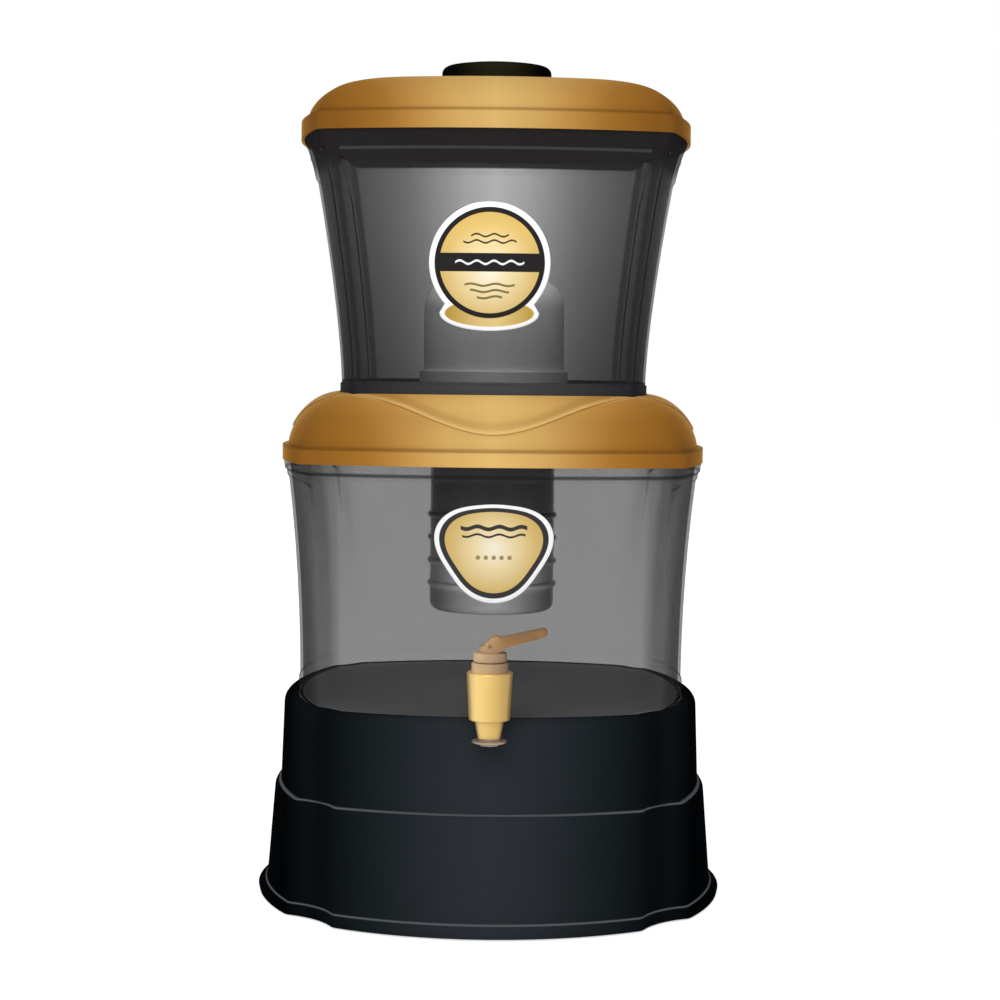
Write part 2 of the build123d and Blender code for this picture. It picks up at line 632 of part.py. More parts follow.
with BuildPart() as tap_swivel_collar:
    neck_bore = NECK_RADIUS + RUNNING_FIT
    swivel_z = BONNET_TOP_Z + LOOSE_FIT
    neck_top_z = BONNET_TOP_Z + NECK_HEIGHT + LOOSE_FIT
    add(turned(
        [
            (neck_bore, swivel_z),
            (SWIVEL_RADIUS, swivel_z),
            (SWIVEL_RADIUS, SWIVEL_TOP_Z),
            (rod_bore, SWIVEL_TOP_Z),
            (rod_bore, neck_top_z),
            (neck_bore, neck_top_z),
        ],
        tap_axis,
        tap_plane,
    ))
    fillet(tap_swivel_collar.edges().filter_by(GeomType.CIRCLE).group_by(SortBy.RADIUS)[-1], BARREL_EDGE)

with BuildPart() as tap_seat_seal:
    add(tap_disc(SEAT_Z, SEAL_RADIUS, ROD_NOSE_RADIUS + RUNNING_FIT, SEAT_SEAL_THICK))
    chamfer(tap_seat_seal.edges().filter_by(GeomType.CIRCLE).group_by(SortBy.RADIUS)[-1]
            .sort_by(Axis.Z)[-1], BARREL_EDGE)

with BuildPart() as tap_stem:
    seal_top_z = SEAT_Z + SEAT_SEAL_THICK
    flange_z = seal_top_z + ROD_FLANGE_RISE
    add(turned(
        [
            (0, SEAT_Z),
            (ROD_NOSE_RADIUS, SEAT_Z),
            (ROD_NOSE_RADIUS, seal_top_z),
            (ROD_RADIUS, seal_top_z),
            (ROD_RADIUS, flange_z),
            (ROD_FLANGE_RADIUS, flange_z),
            (ROD_FLANGE_RADIUS, flange_z + ROD_FLANGE_THICK),
            (ROD_RADIUS, flange_z + ROD_FLANGE_THICK),
            (ROD_RADIUS, PIN_Z + ROD_RADIUS),
            (0, PIN_Z + ROD_RADIUS),
        ],
        tap_axis,
        tap_plane,
    ))
    with BuildSketch(Plane.XY.offset(BLADE_Z)):  # flats of the blade in the fork
        with Locations((0, TAP_Y)):
            Circle(ROD_FLANGE_RADIUS)
            Rectangle(2 * ROD_FLANGE_RADIUS, BLADE_THICK, mode=Mode.SUBTRACT)
    extrude(amount=PIN_Z + ROD_RADIUS - BLADE_Z, mode=Mode.SUBTRACT)
    with BuildSketch(tap_plane):
        with Locations((0, PIN_Z)):
            Circle(PIN_RADIUS + RUNNING_FIT)
    extrude(amount=BLADE_THICK, both=True, mode=Mode.SUBTRACT)

with BuildPart() as tap_spring:
    spring_foot_z = flange_z + ROD_FLANGE_THICK + SPRING_WIRE + RUNNING_FIT
    spring_top_z = BARREL_TOP_Z - BONNET_CROWN - SPRING_WIRE - RUNNING_FIT
    spring_height = spring_top_z - spring_foot_z
    with BuildLine():
        coil = Helix(spring_height / SPRING_TURNS, spring_height, SPRING_RADIUS,
                     center=(0, TAP_Y, spring_foot_z))
    with BuildSketch(Plane(coil @ 0, z_dir=coil % 0)):
        Circle(SPRING_WIRE)
    sweep(is_frenet=True)

with BuildPart() as tap_lever_pin:
    with BuildSketch(tap_plane):
        with Locations((0, PIN_Z)):
            Circle(PIN_RADIUS)
    extrude(amount=HUB_HALF, both=True)

with BuildPart() as tap_lever:
    rest = radians(LEVER_REST)
    heel = (HEEL_OFFSET * cos(radians(HEEL_ANGLE)), PIN_Z + HEEL_OFFSET * sin(radians(HEEL_ANGLE)))
    tip_radius = LEVER_THICK / 2
    tip_x = LEVER_REACH - tip_radius
    with BuildSketch(tap_plane):
        with Locations(heel):
            Circle(HEEL_RADIUS)
        with Locations((0, PIN_Z)):
            Circle(HUB_RADIUS)
        with Locations(((heel[0] - HUB_HALF) / 2, PIN_Z - (PIN_RISE - HEEL_CLEAR) / 2)):
            Rectangle(heel[0] + HUB_HALF, PIN_RISE - HEEL_CLEAR)
    with BuildSketch(tap_plane):
        with Locations((0, PIN_Z)):
            Circle(HUB_RADIUS)
        with Locations((tip_x, PIN_Z + tip_x * sin(rest) / cos(rest))):
            Circle(tip_radius)
        make_hull()
    extrude(amount=HUB_HALF, both=True)
    with BuildSketch(Plane.XY.offset(SWIVEL_TOP_Z)):  # rounded plan of the blade and hub
        with Locations(((LEVER_REACH - HUB_HALF) / 2, TAP_Y)):
            SlotOverall(LEVER_REACH + HUB_HALF, 2 * HUB_HALF)
    extrude(amount=LEVER_REACH, mode=Mode.INTERSECT)
    with BuildSketch(Plane.XY.offset(SWIVEL_TOP_Z)):  # slot of the fork
        with Locations((0, TAP_Y)):
            Rectangle(FORK_SLOT, BLADE_THICK + 2 * LOOSE_FIT)
    extrude(amount=LEVER_REACH, mode=Mode.SUBTRACT)
    with BuildSketch(tap_plane):
        with Locations((0, PIN_Z)):
            Circle(PIN_RADIUS + RUNNING_FIT)
    extrude(amount=2 * HUB_HALF, both=True, mode=Mode.SUBTRACT)


# ---------------------------------------------------------------- middle lid
def middle_levels(inset):
    """Outlines of the middle lid's dome, from its rim up to the crown."""
    levels = []
    for turn in steps(0.0, pi / 2):
        half = MIDDLE_CROWN_HALF + (MIDDLE_DOME_HALF - MIDDLE_CROWN_HALF) * cos(turn)
        rise = (MIDDLE_DOME_HEIGHT - max(0.0, inset)) * sin(turn) ** MIDDLE_DOME_POWER
        radius = LID_RIM_ROUND + (MIDDLE_CROWN_ROUND - LID_RIM_ROUND) * sin(turn)
        levels.append((MIDDLE_DOME_Z + rise, lid_plan(half, radius, inset)))
    return levels


middle_rim = [
    (z, lid_plan(MIDDLE_RIM_HALF, LID_RIM_ROUND)) for z in (LOWER_TOP_Z, MIDDLE_DOME_Z)
]
pocket = lofted([(z, upper_plan(z, -SEAT_GAP)) for z in (POCKET_Z, CROWN_Z + POCKET_DEPTH)])
pocket_block = lofted([
    (z, upper_plan(z, -SEAT_GAP - LID_WALL)) for z in (POCKET_Z - LID_WALL, CROWN_Z + POCKET_DEPTH)
])
HOLE_RADIUS = CARTRIDGE_RADIUS + RING_PROUD + CARTRIDGE_GAP

with BuildPart() as swag:  # the draped step, as it hangs on the front face
    with BuildSketch(Plane.XZ.offset(UPPER_CORNER_SHARE * UPPER_FOOT_HALF)):
        with BuildLine():
            Spline(
                (-SWAG_HALF, CROWN_Z),
                (-SWAG_SHOULDER, CROWN_Z - SWAG_SHOULDER_DROP),
                (0, CROWN_Z - SWAG_DROP),
                (SWAG_SHOULDER, CROWN_Z - SWAG_SHOULDER_DROP),
                (SWAG_HALF, CROWN_Z),
            )
            Polyline(
                (SWAG_HALF, CROWN_Z),
                (SWAG_HALF, CROWN_Z + POCKET_DEPTH),
                (-SWAG_HALF, CROWN_Z + POCKET_DEPTH),
                (-SWAG_HALF, CROWN_Z),
            )
        make_face()
    extrude(amount=MIDDLE_RIM_HALF)
    add(lofted(middle_levels(-SWAG_STEP)), mode=Mode.INTERSECT)

with BuildPart() as middle_outside:
    add(lofted(middle_rim))
    add(lofted(middle_levels(0.0)))
    add(around(swag.part))

with BuildPart() as middle_lid:
    rim_bore = lid_plan(MIDDLE_DOME_HALF, LID_RIM_ROUND, LID_WALL)
    add(middle_outside.part)
    add(lofted([(LOWER_TOP_Z, rim_bore), (MIDDLE_DOME_Z, rim_bore)]), mode=Mode.SUBTRACT)
    add(lofted(middle_levels(LID_WALL)), mode=Mode.SUBTRACT)
    add(pocket_block, mode=Mode.SUBTRACT)

with BuildPart() as middle_lid_plug:  # ring that keeps the lid in the mouth of the tank
    add(lower_body(LOWER_TOP_Z - PLUG_DEPTH, LOWER_TOP_Z, LOWER_WALL + SEAT_GAP))
    add(lower_body(LOWER_TOP_Z - PLUG_DEPTH, LOWER_TOP_Z, LOWER_WALL + SEAT_GAP + PLUG_WALL),
        mode=Mode.SUBTRACT)

with BuildPart() as middle_lid_seat:  # tray in the crown that the upper tank stands in
    add(middle_outside.part)
    add(pocket_block, mode=Mode.INTERSECT)
    add(pocket, mode=Mode.SUBTRACT)
    with BuildSketch(Plane.XY.offset(POCKET_Z)):
        Circle(HOLE_RADIUS + LID_WALL)
    extrude(amount=-HOLE_COLLAR_DEPTH)
    with BuildSketch(Plane.XY.offset(POCKET_Z)):
        Circle(HOLE_RADIUS)
    extrude(amount=-HOLE_COLLAR_DEPTH, mode=Mode.SUBTRACT)


# ---------------------------------------------------------------- upper tank
upper_panels = face_panels(upper_body, upper_half, UPPER_FLOOR_Z, UPPER_LIP_Z)
bead_z = UPPER_TOP_Z - UPPER_BEAD_DROP

with BuildPart() as upper_tank:
    add(upper_body(POCKET_Z, UPPER_FLOOR_Z))
    add(upper_body(UPPER_FLOOR_Z, UPPER_TOP_Z))
    add(upper_panels, mode=Mode.SUBTRACT)
    add(lofted([(z, upper_plan(z, -UPPER_BEAD_OUT)) for z in steps(bead_z, bead_z + UPPER_BEAD_HEIGHT, 1)]))
    add(upper_body(POCKET_Z, UPPER_UNDER_Z, UPPER_WALL), mode=Mode.SUBTRACT)
    add(upper_body(UPPER_FLOOR_Z, UPPER_TOP_Z, UPPER_WALL), mode=Mode.SUBTRACT)
    with BuildSketch(Plane.XY.offset(UPPER_FLOOR_Z)):
        Circle(STEM_RADIUS + LOOSE_FIT)
    extrude(amount=-UPPER_FLOOR, mode=Mode.SUBTRACT)


# ---------------------------------------------------------------- ceramic dome
BASE_Z = UPPER_FLOOR_Z + LOOSE_FIT
WASHER_TOP_Z = UPPER_FLOOR_Z + WASHER_THICK
CERAMIC_Z = BASE_Z + DOME_BASE_FLOOR
RIM_BORE = CERAMIC_RADIUS + RUNNING_FIT


def upright_ring(z, radius, bore, height):
    """Ring round the filter's own axis, from height z up."""
    with BuildPart() as ring:
        with BuildSketch(Plane.XY.offset(z)):
            Circle(radius)
            Circle(bore, mode=Mode.SUBTRACT)
        extrude(amount=height)
    return ring.part


def domed(radius, height, shoulder):
    """Solid dome on the ceramic's seat: an upright wall with a rounded shoulder."""
    with BuildPart() as dome:
        with BuildSketch(Plane.XY.offset(CERAMIC_Z)):
            Circle(radius)
        extrude(amount=height)
        fillet(dome.faces().sort_by(Axis.Z)[-1].edges(), shoulder)
    return dome.part


with BuildPart() as dome_filter:
    add(domed(CERAMIC_RADIUS, CERAMIC_HEIGHT, CERAMIC_SHOULDER))
    add(domed(CERAMIC_RADIUS - CERAMIC_WALL, CERAMIC_HEIGHT - CERAMIC_WALL,
              CERAMIC_SHOULDER - CERAMIC_WALL), mode=Mode.SUBTRACT)

with BuildPart() as dome_carbon_core:
    core_inset = CERAMIC_WALL + LOOSE_FIT
    add(domed(CERAMIC_RADIUS - core_inset, CERAMIC_HEIGHT - core_inset, CERAMIC_SHOULDER - core_inset))

with BuildPart() as dome_base:
    add(turned([
        (STEM_BORE, STEM_END_Z),
        (STEM_RADIUS, STEM_END_Z),
        (STEM_RADIUS, WASHER_TOP_Z),
        (WASHER_RADIUS + LOOSE_FIT, WASHER_TOP_Z),
        (WASHER_RADIUS + LOOSE_FIT, BASE_Z),
        (RIM_BORE + DOME_RIM_WALL, BASE_Z),
        (RIM_BORE + DOME_RIM_WALL, CERAMIC_Z + DOME_RIM_HEIGHT),
        (RIM_BORE, CERAMIC_Z + DOME_RIM_HEIGHT),
        (RIM_BORE, CERAMIC_Z),
        (STEM_BORE, CERAMIC_Z),
    ]))

with BuildPart() as dome_washer:
    add(upright_ring(UPPER_FLOOR_Z, WASHER_RADIUS, STEM_RADIUS + RUNNING_FIT, WASHER_THICK))

with BuildPart() as dome_lock_nut:
    with BuildSketch(Plane.XY.offset(UPPER_UNDER_Z)):
        RegularPolygon(NUT_ACROSS_FLATS / 2, 6, major_radius=False)
        Circle(STEM_RADIUS + RUNNING_FIT, mode=Mode.SUBTRACT)
    extrude(amount=-NUT_THICK)
    chamfer(dome_lock_nut.faces().sort_by(Axis.Z)[0].outer_wire().edges(), NUT_CHAMFER)


# ---------------------------------------------------------------- mineral cartridge
HOUSING_BORE = CARTRIDGE_RADIUS - CARTRIDGE_WALL
NECK_OUTER = HOUSING_BORE + CARTRIDGE_NECK_WALL
CAP_NECK_TOP_Z = UPPER_UNDER_Z - NUT_THICK - LOOSE_FIT
SEAL_Z = STEM_END_Z - SEAL_THICK
CAP_TOP_Z = SEAL_Z - CAP_WALL
BED_TOP_Z = CAP_TOP_Z - CAP_HEAD
BED_FOOT_Z = BED_TOP_Z - STAGE_PITCH * len(STAGE_NAMES)
GRILLE_Z = BED_FOOT_Z - GRILLE_FLOOR
HOUSING_Z = GRILLE_Z + GRILLE_HEIGHT
CAP_SKIRT_Z = BED_TOP_Z - CAP_SKIRT
screen_levels = [BED_FOOT_Z + STAGE_PITCH * stage for stage in range(1, len(STAGE_NAMES))]

with BuildPart() as cartridge_housing:
    add(upright_ring(HOUSING_Z, CARTRIDGE_RADIUS, HOUSING_BORE, CAP_SKIRT_Z - HOUSING_Z))
    add(upright_ring(CAP_SKIRT_Z, NECK_OUTER, HOUSING_BORE, CARTRIDGE_NECK_HEIGHT))

with BuildPart() as cartridge_rings:
    with BuildSketch(Plane.XZ):
        with Locations(*((CARTRIDGE_RADIUS, level) for level in screen_levels)):
            Ellipse(RING_PROUD, RING_HEIGHT / 2)
        split(bisect_by=Plane.YZ.offset(CARTRIDGE_RADIUS), keep=Keep.TOP)
    revolve(axis=Axis.Z)

with BuildPart() as cartridge_bottom_grille:
    add(upright_ring(GRILLE_Z, CARTRIDGE_RADIUS, HOUSING_BORE, GRILLE_HEIGHT))
    with BuildSketch(Plane.XY.offset(GRILLE_Z)):
        Circle(CARTRIDGE_RADIUS)
    extrude(amount=GRILLE_FLOOR)
    fillet(cartridge_bottom_grille.faces().sort_by(Axis.Z)[0].edges(), GRILLE_ROUND)
    with BuildSketch(Plane.XY.offset(GRILLE_Z)):
        with PolarLocations(CARTRIDGE_RADIUS / 2, GRILLE_SLOT_COUNT):
            SlotOverall(*GRILLE_SLOT)
    extrude(amount=GRILLE_FLOOR, mode=Mode.SUBTRACT)

with BuildPart() as divider_screens:
    for level in screen_levels:
        with BuildSketch(Plane.XY.offset(level - SCREEN_THICK / 2)):
            Circle(HOUSING_BORE - RUNNING_FIT)
    extrude(amount=SCREEN_THICK)

beds = {}
for stage, stage_name in enumerate(STAGE_NAMES):
    first, last = stage == 0, stage == len(STAGE_NAMES) - 1
    bed_z = BED_FOOT_Z + STAGE_PITCH * stage + (0 if first else SCREEN_THICK / 2)
    bed_top = BED_FOOT_Z + STAGE_PITCH * (stage + 1) - (0 if last else SCREEN_THICK / 2)
    with BuildPart() as bed:
        with BuildSketch(Plane.XY.offset(bed_z)):
            Circle(HOUSING_BORE - RUNNING_FIT)
        extrude(amount=bed_top - bed_z)
    beds[stage_name] = bed

with BuildPart() as cartridge_cap:
    cap_bore = STEM_RADIUS + RUNNING_FIT
    cap_slope_z = CAP_TOP_Z - CAP_SLOPE
    add(turned([
        (NECK_OUTER + RUNNING_FIT, CAP_SKIRT_Z),
        (CARTRIDGE_RADIUS, CAP_SKIRT_Z),
        (CARTRIDGE_RADIUS, cap_slope_z),
        (CAP_NECK_RADIUS, SEAL_Z),
        (CAP_NECK_RADIUS, CAP_NECK_TOP_Z),
        (cap_bore, CAP_NECK_TOP_Z),
        (cap_bore, SEAL_Z),
        (STEM_BORE, SEAL_Z),
        (STEM_BORE, CAP_TOP_Z),
        (CAP_NECK_RADIUS, CAP_TOP_Z),
        (NECK_OUTER + RUNNING_FIT, cap_slope_z - CAP_WALL),
    ]))

with BuildPart() as cartridge_seal:
    add(upright_ring(SEAL_Z, STEM_RADIUS - RUNNING_FIT, STEM_BORE, SEAL_THICK))


# ---------------------------------------------------------------- top lid
def top_dome(inset):
    """Dome of the top lid: rounded from its rim, then flatter up to the knob's seat."""
    levels = []
    for turn in steps(0.0, DOME_SPAN * pi / 2, TOP_LOFT_STEPS):
        half = TOP_DOME_HALF * cos(turn) ** DOME_POWER
        rise = (TOP_DOME_HEIGHT - inset) * sin(turn)
        radius = LID_RIM_ROUND + (TOP_CROWN_ROUND - LID_RIM_ROUND) * sin(turn)
        levels.append((TOP_DOME_Z + rise, lid_plan(half, radius, inset)))
    knob_seat = lid_plan(KNOB_SEAT_HALF, TOP_CROWN_ROUND, inset)
    with BuildPart() as dome:
        add(lofted(levels))
        add(lofted([levels[-1], (TOP_FLAT_Z - inset, knob_seat)]))
    return dome.part


with BuildPart() as top_inside:
    rim_bore = lid_plan(TOP_DOME_HALF, LID_RIM_ROUND, LID_WALL)
    add(lofted([(UPPER_TOP_Z, rim_bore), (TOP_DOME_Z, rim_bore)]))
    add(top_dome(LID_WALL))

with BuildPart() as top_lid:
    add(lofted([(z, lid_plan(TOP_RIM_HALF, LID_RIM_ROUND)) for z in (UPPER_TOP_Z, TOP_DOME_Z)]))
    add(top_dome(0.0))
    add(top_inside.part, mode=Mode.SUBTRACT)
    with BuildSketch(Plane.XY.offset(TOP_FLAT_Z)):
        Circle(SCREW_RADIUS + LOOSE_FIT)
    extrude(amount=-2 * LID_WALL, mode=Mode.SUBTRACT)

with BuildPart() as top_lid_plug:  # ring that keeps the lid in the mouth of the tank
    add(upper_body(UPPER_TOP_Z - PLUG_DEPTH, UPPER_TOP_Z, UPPER_WALL + SEAT_GAP))
    add(upper_body(UPPER_TOP_Z - PLUG_DEPTH, UPPER_TOP_Z, UPPER_WALL + SEAT_GAP + PLUG_WALL),
        mode=Mode.SUBTRACT)

with BuildPart() as lid_knob:
    with BuildSketch(Plane.XZ):
        with BuildLine():
            edge_z = TOP_FLAT_Z + KNOB_HEIGHT - KNOB_CROWN
            Polyline(
                (0, edge_z + KNOB_CROWN),
                (0, TOP_FLAT_Z),
                (KNOB_RADIUS, TOP_FLAT_Z),
                (KNOB_RADIUS, edge_z - KNOB_EDGE),
            )
            RadiusArc((KNOB_RADIUS, edge_z - KNOB_EDGE), (KNOB_RADIUS - KNOB_EDGE, edge_z), -KNOB_EDGE)
            Spline((KNOB_RADIUS - KNOB_EDGE, edge_z), (0, edge_z + KNOB_CROWN),
                   tangents=((-1, KNOB_TOP_SLOPE), (-1, 0)))
        make_face()
    revolve(axis=Axis.Z)
    with BuildSketch(Plane.XY.offset(TOP_FLAT_Z)):
        Circle(KNOB_RADIUS - KNOB_WALL)
        Circle(KNOB_BOSS_RADIUS, mode=Mode.SUBTRACT)
    extrude(amount=KNOB_HEIGHT - KNOB_EDGE - KNOB_WALL, mode=Mode.SUBTRACT)
    with BuildSketch(Plane.XY.offset(TOP_FLAT_Z)):
        Circle(SCREW_RADIUS + RUNNING_FIT)
    extrude(amount=SCREW_GRIP + LOOSE_FIT, mode=Mode.SUBTRACT)

with BuildPart() as knob_screw:
    lid_under_z = TOP_FLAT_Z - LID_WALL
    with BuildSketch(Plane.XY.offset(lid_under_z)):
        Circle(SCREW_RADIUS)
    extrude(amount=TOP_FLAT_Z - lid_under_z + SCREW_GRIP)
    with BuildSketch(Plane.XY.offset(lid_under_z)):
        Circle(SCREW_HEAD_RADIUS)
    extrude(amount=-SCREW_HEAD_HEIGHT)
    fillet(knob_screw.faces().sort_by(Axis.Z)[0].edges(), SCREW_HEAD_ROUND)


# ---------------------------------------------------------------- files
sub_parts = {
    "stand_shell": stand_shell,
    "stand_feet": stand_feet,
    "lower_tank": lower_tank,
    "tap_body": tap_body,
    "tap_outer_washer": tap_outer_washer,
    "tap_inner_washer": tap_inner_washer,
    "tap_nut": tap_nut,
    "tap_spout_ring": tap_spout_ring,
    "tap_bonnet": tap_bonnet,
    "tap_swivel_collar": tap_swivel_collar,
    "tap_seat_seal": tap_seat_seal,
    "tap_stem": tap_stem,
    "tap_spring": tap_spring,
    "tap_lever_pin": tap_lever_pin,
    "tap_lever": tap_lever,
    "middle_lid": middle_lid,
    "middle_lid_seat": middle_lid_seat,
    "middle_lid_plug": middle_lid_plug,
    "upper_tank": upper_tank,
    "dome_filter": dome_filter,
    "dome_carbon_core": dome_carbon_core,
    "dome_base": dome_base,
    "dome_washer": dome_washer,
    "dome_lock_nut": dome_lock_nut,
    "cartridge_cap": cartridge_cap,
    "cartridge_seal": cartridge_seal,
    "cartridge_housing": cartridge_housing,
    "cartridge_rings": cartridge_rings,
    "cartridge_bottom_grille": cartridge_bottom_grille,
    "divider_screens": divider_screens,
    **beds,
    "top_lid": top_lid,
    "top_lid_plug": top_lid_plug,
    "lid_knob": lid_knob,
    "knob_screw": knob_screw,
}
os.makedirs("parts", exist_ok=True)
for part_name, sub_part in sub_parts.items():
    sub_part.part.label = part_name
    export_step(sub_part.part, f"parts/{part_name}.step")
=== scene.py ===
"""Looks of the gravity water filter: finishes, stickers, spring, floor, light and camera.

Lengths are in metres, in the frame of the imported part: Z up, the tap at the front on
the -Y side, the origin on the table under the middle of the stand.
"""

import json
from math import pi, radians
from typing import NamedTuple

import bpy
import numpy as np
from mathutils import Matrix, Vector


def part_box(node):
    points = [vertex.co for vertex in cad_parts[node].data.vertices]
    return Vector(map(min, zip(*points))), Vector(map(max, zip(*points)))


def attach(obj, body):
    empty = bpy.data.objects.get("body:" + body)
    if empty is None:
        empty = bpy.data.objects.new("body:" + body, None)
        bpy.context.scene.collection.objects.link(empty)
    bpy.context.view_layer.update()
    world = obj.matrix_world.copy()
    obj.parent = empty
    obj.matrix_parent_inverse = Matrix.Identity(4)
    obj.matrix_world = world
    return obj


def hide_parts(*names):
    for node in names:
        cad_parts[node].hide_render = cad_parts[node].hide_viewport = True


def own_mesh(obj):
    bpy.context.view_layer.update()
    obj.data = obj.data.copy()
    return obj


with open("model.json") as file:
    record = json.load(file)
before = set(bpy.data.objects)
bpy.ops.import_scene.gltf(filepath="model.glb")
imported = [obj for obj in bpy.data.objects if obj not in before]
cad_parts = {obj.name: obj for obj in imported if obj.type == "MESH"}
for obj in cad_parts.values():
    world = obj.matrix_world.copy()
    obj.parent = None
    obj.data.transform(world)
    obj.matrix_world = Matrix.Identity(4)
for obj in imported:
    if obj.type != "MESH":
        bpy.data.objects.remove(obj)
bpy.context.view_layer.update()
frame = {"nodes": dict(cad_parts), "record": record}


# ---------------------------------------------------------------- shape of tanks and lids
class Tank(NamedTuple):
    """Square tank that flares upwards: half width = foot_half + flare x rise to a power.

    The rise goes from 0 at foot_z, where the flare starts, to 1 at top_z.
    """

    foot_z: float
    top_z: float
    foot_half: float
    flare: float
    power: float

    def rise(self, z):
        """Share of the tank's height at z."""
        return (z - self.foot_z) / (self.top_z - self.foot_z)

    def half(self, z):
        """Half width of the tank at z."""
        return self.foot_half + self.flare * np.clip(self.rise(z), 0, 1) ** self.power


LOWER_TANK = Tank(foot_z=0.132, top_z=0.296, foot_half=0.1319, flare=0.010, power=2.2)
LOWER_LIP_SHARE = 0.86  # of the half width, where a bowed face ends
LOWER_FOOT_STRIP = 0.018  # width of the corner strip at the foot
LOWER_MOUTH_STRIP = 0.005
LOWER_FLOOR_Z = 0.1364  # just above the floor, which is paler than the walls
LOWER_RIM_Z = 0.2895  # line of painted shade under the wider rim
UPPER_TANK = Tank(foot_z=0.347, top_z=0.510, foot_half=0.1051, flare=0.0223, power=1.42)
UPPER_CORNER_SHARE = 0.865  # of the half width, where two bowed faces meet
UPPER_FOOT_Z = 0.3485  # just above the floor, where the painted shadow at the foot ends
UPPER_LIP_Z = 0.485  # lower edge of the band of painted shade at the mouth
BEAD_Z = 0.4982
PANEL_DEPTH = 0.001
PANEL_SHARE = 0.835  # of the half width, where a sunk panel ends
MIDDLE_LID_HALF = 0.140  # half width of the lid's dome
MIDDLE_LEVEL_Z = 0.29  # under the middle lid, where its levels of light start
MIDDLE_LEVEL_RISE = 0.06
MIDDLE_GROOVE_Z = 0.3062  # where the dome leaves the rim
MIDDLE_CROWN_Z = 0.341
TOP_LID_HALF = 0.128
TOP_GROOVE_Z = 0.5222
BETWEEN_LIDS_Z = 0.4
SWAG_HALF = 0.102  # half width of the draped step at the crown
SWAG_DROP = 0.0245  # how far it hangs below the crown at the middle
SWAG_DROPS = [  # share of the drop, by the share of the half length
    (0.0, 1.0), (0.1, 0.972), (0.2, 0.885), (0.3, 0.755), (0.4, 0.595),
    (0.5, 0.43), (0.56, 0.335), (0.66, 0.215), (0.8, 0.105), (1.0, 0.0)]


def bowed_front(x, half, corner_x, corner_y, inset):
    """Y of a bowed front face at x, moved in by inset.

    The face is an arc through (0, -half) and (corner_x, -corner_y), so its radius is
    (corner_x squared plus sag squared) over twice the sag, where sag is half - corner_y.
    """
    sag = half - corner_y
    radius = (corner_x**2 + sag**2) / (2 * sag)
    return radius - half - np.sqrt((radius - inset) ** 2 - x**2)


def upper_front(x, z, inset):
    """Y of the upper tank's front face, an arc from corner to corner."""
    half = UPPER_TANK.half(z)
    corner = UPPER_CORNER_SHARE * half
    return bowed_front(x, half, corner, corner, inset)


def lower_front(x, z, inset):
    """Y of the lower tank's front face, an arc that ends at the corner strips."""
    half = LOWER_TANK.half(z)
    strip = LOWER_FOOT_STRIP + (LOWER_MOUTH_STRIP - LOWER_FOOT_STRIP) * LOWER_TANK.rise(z)
    lip = LOWER_LIP_SHARE * half
    return bowed_front(x, half, lip - strip, lip, inset)


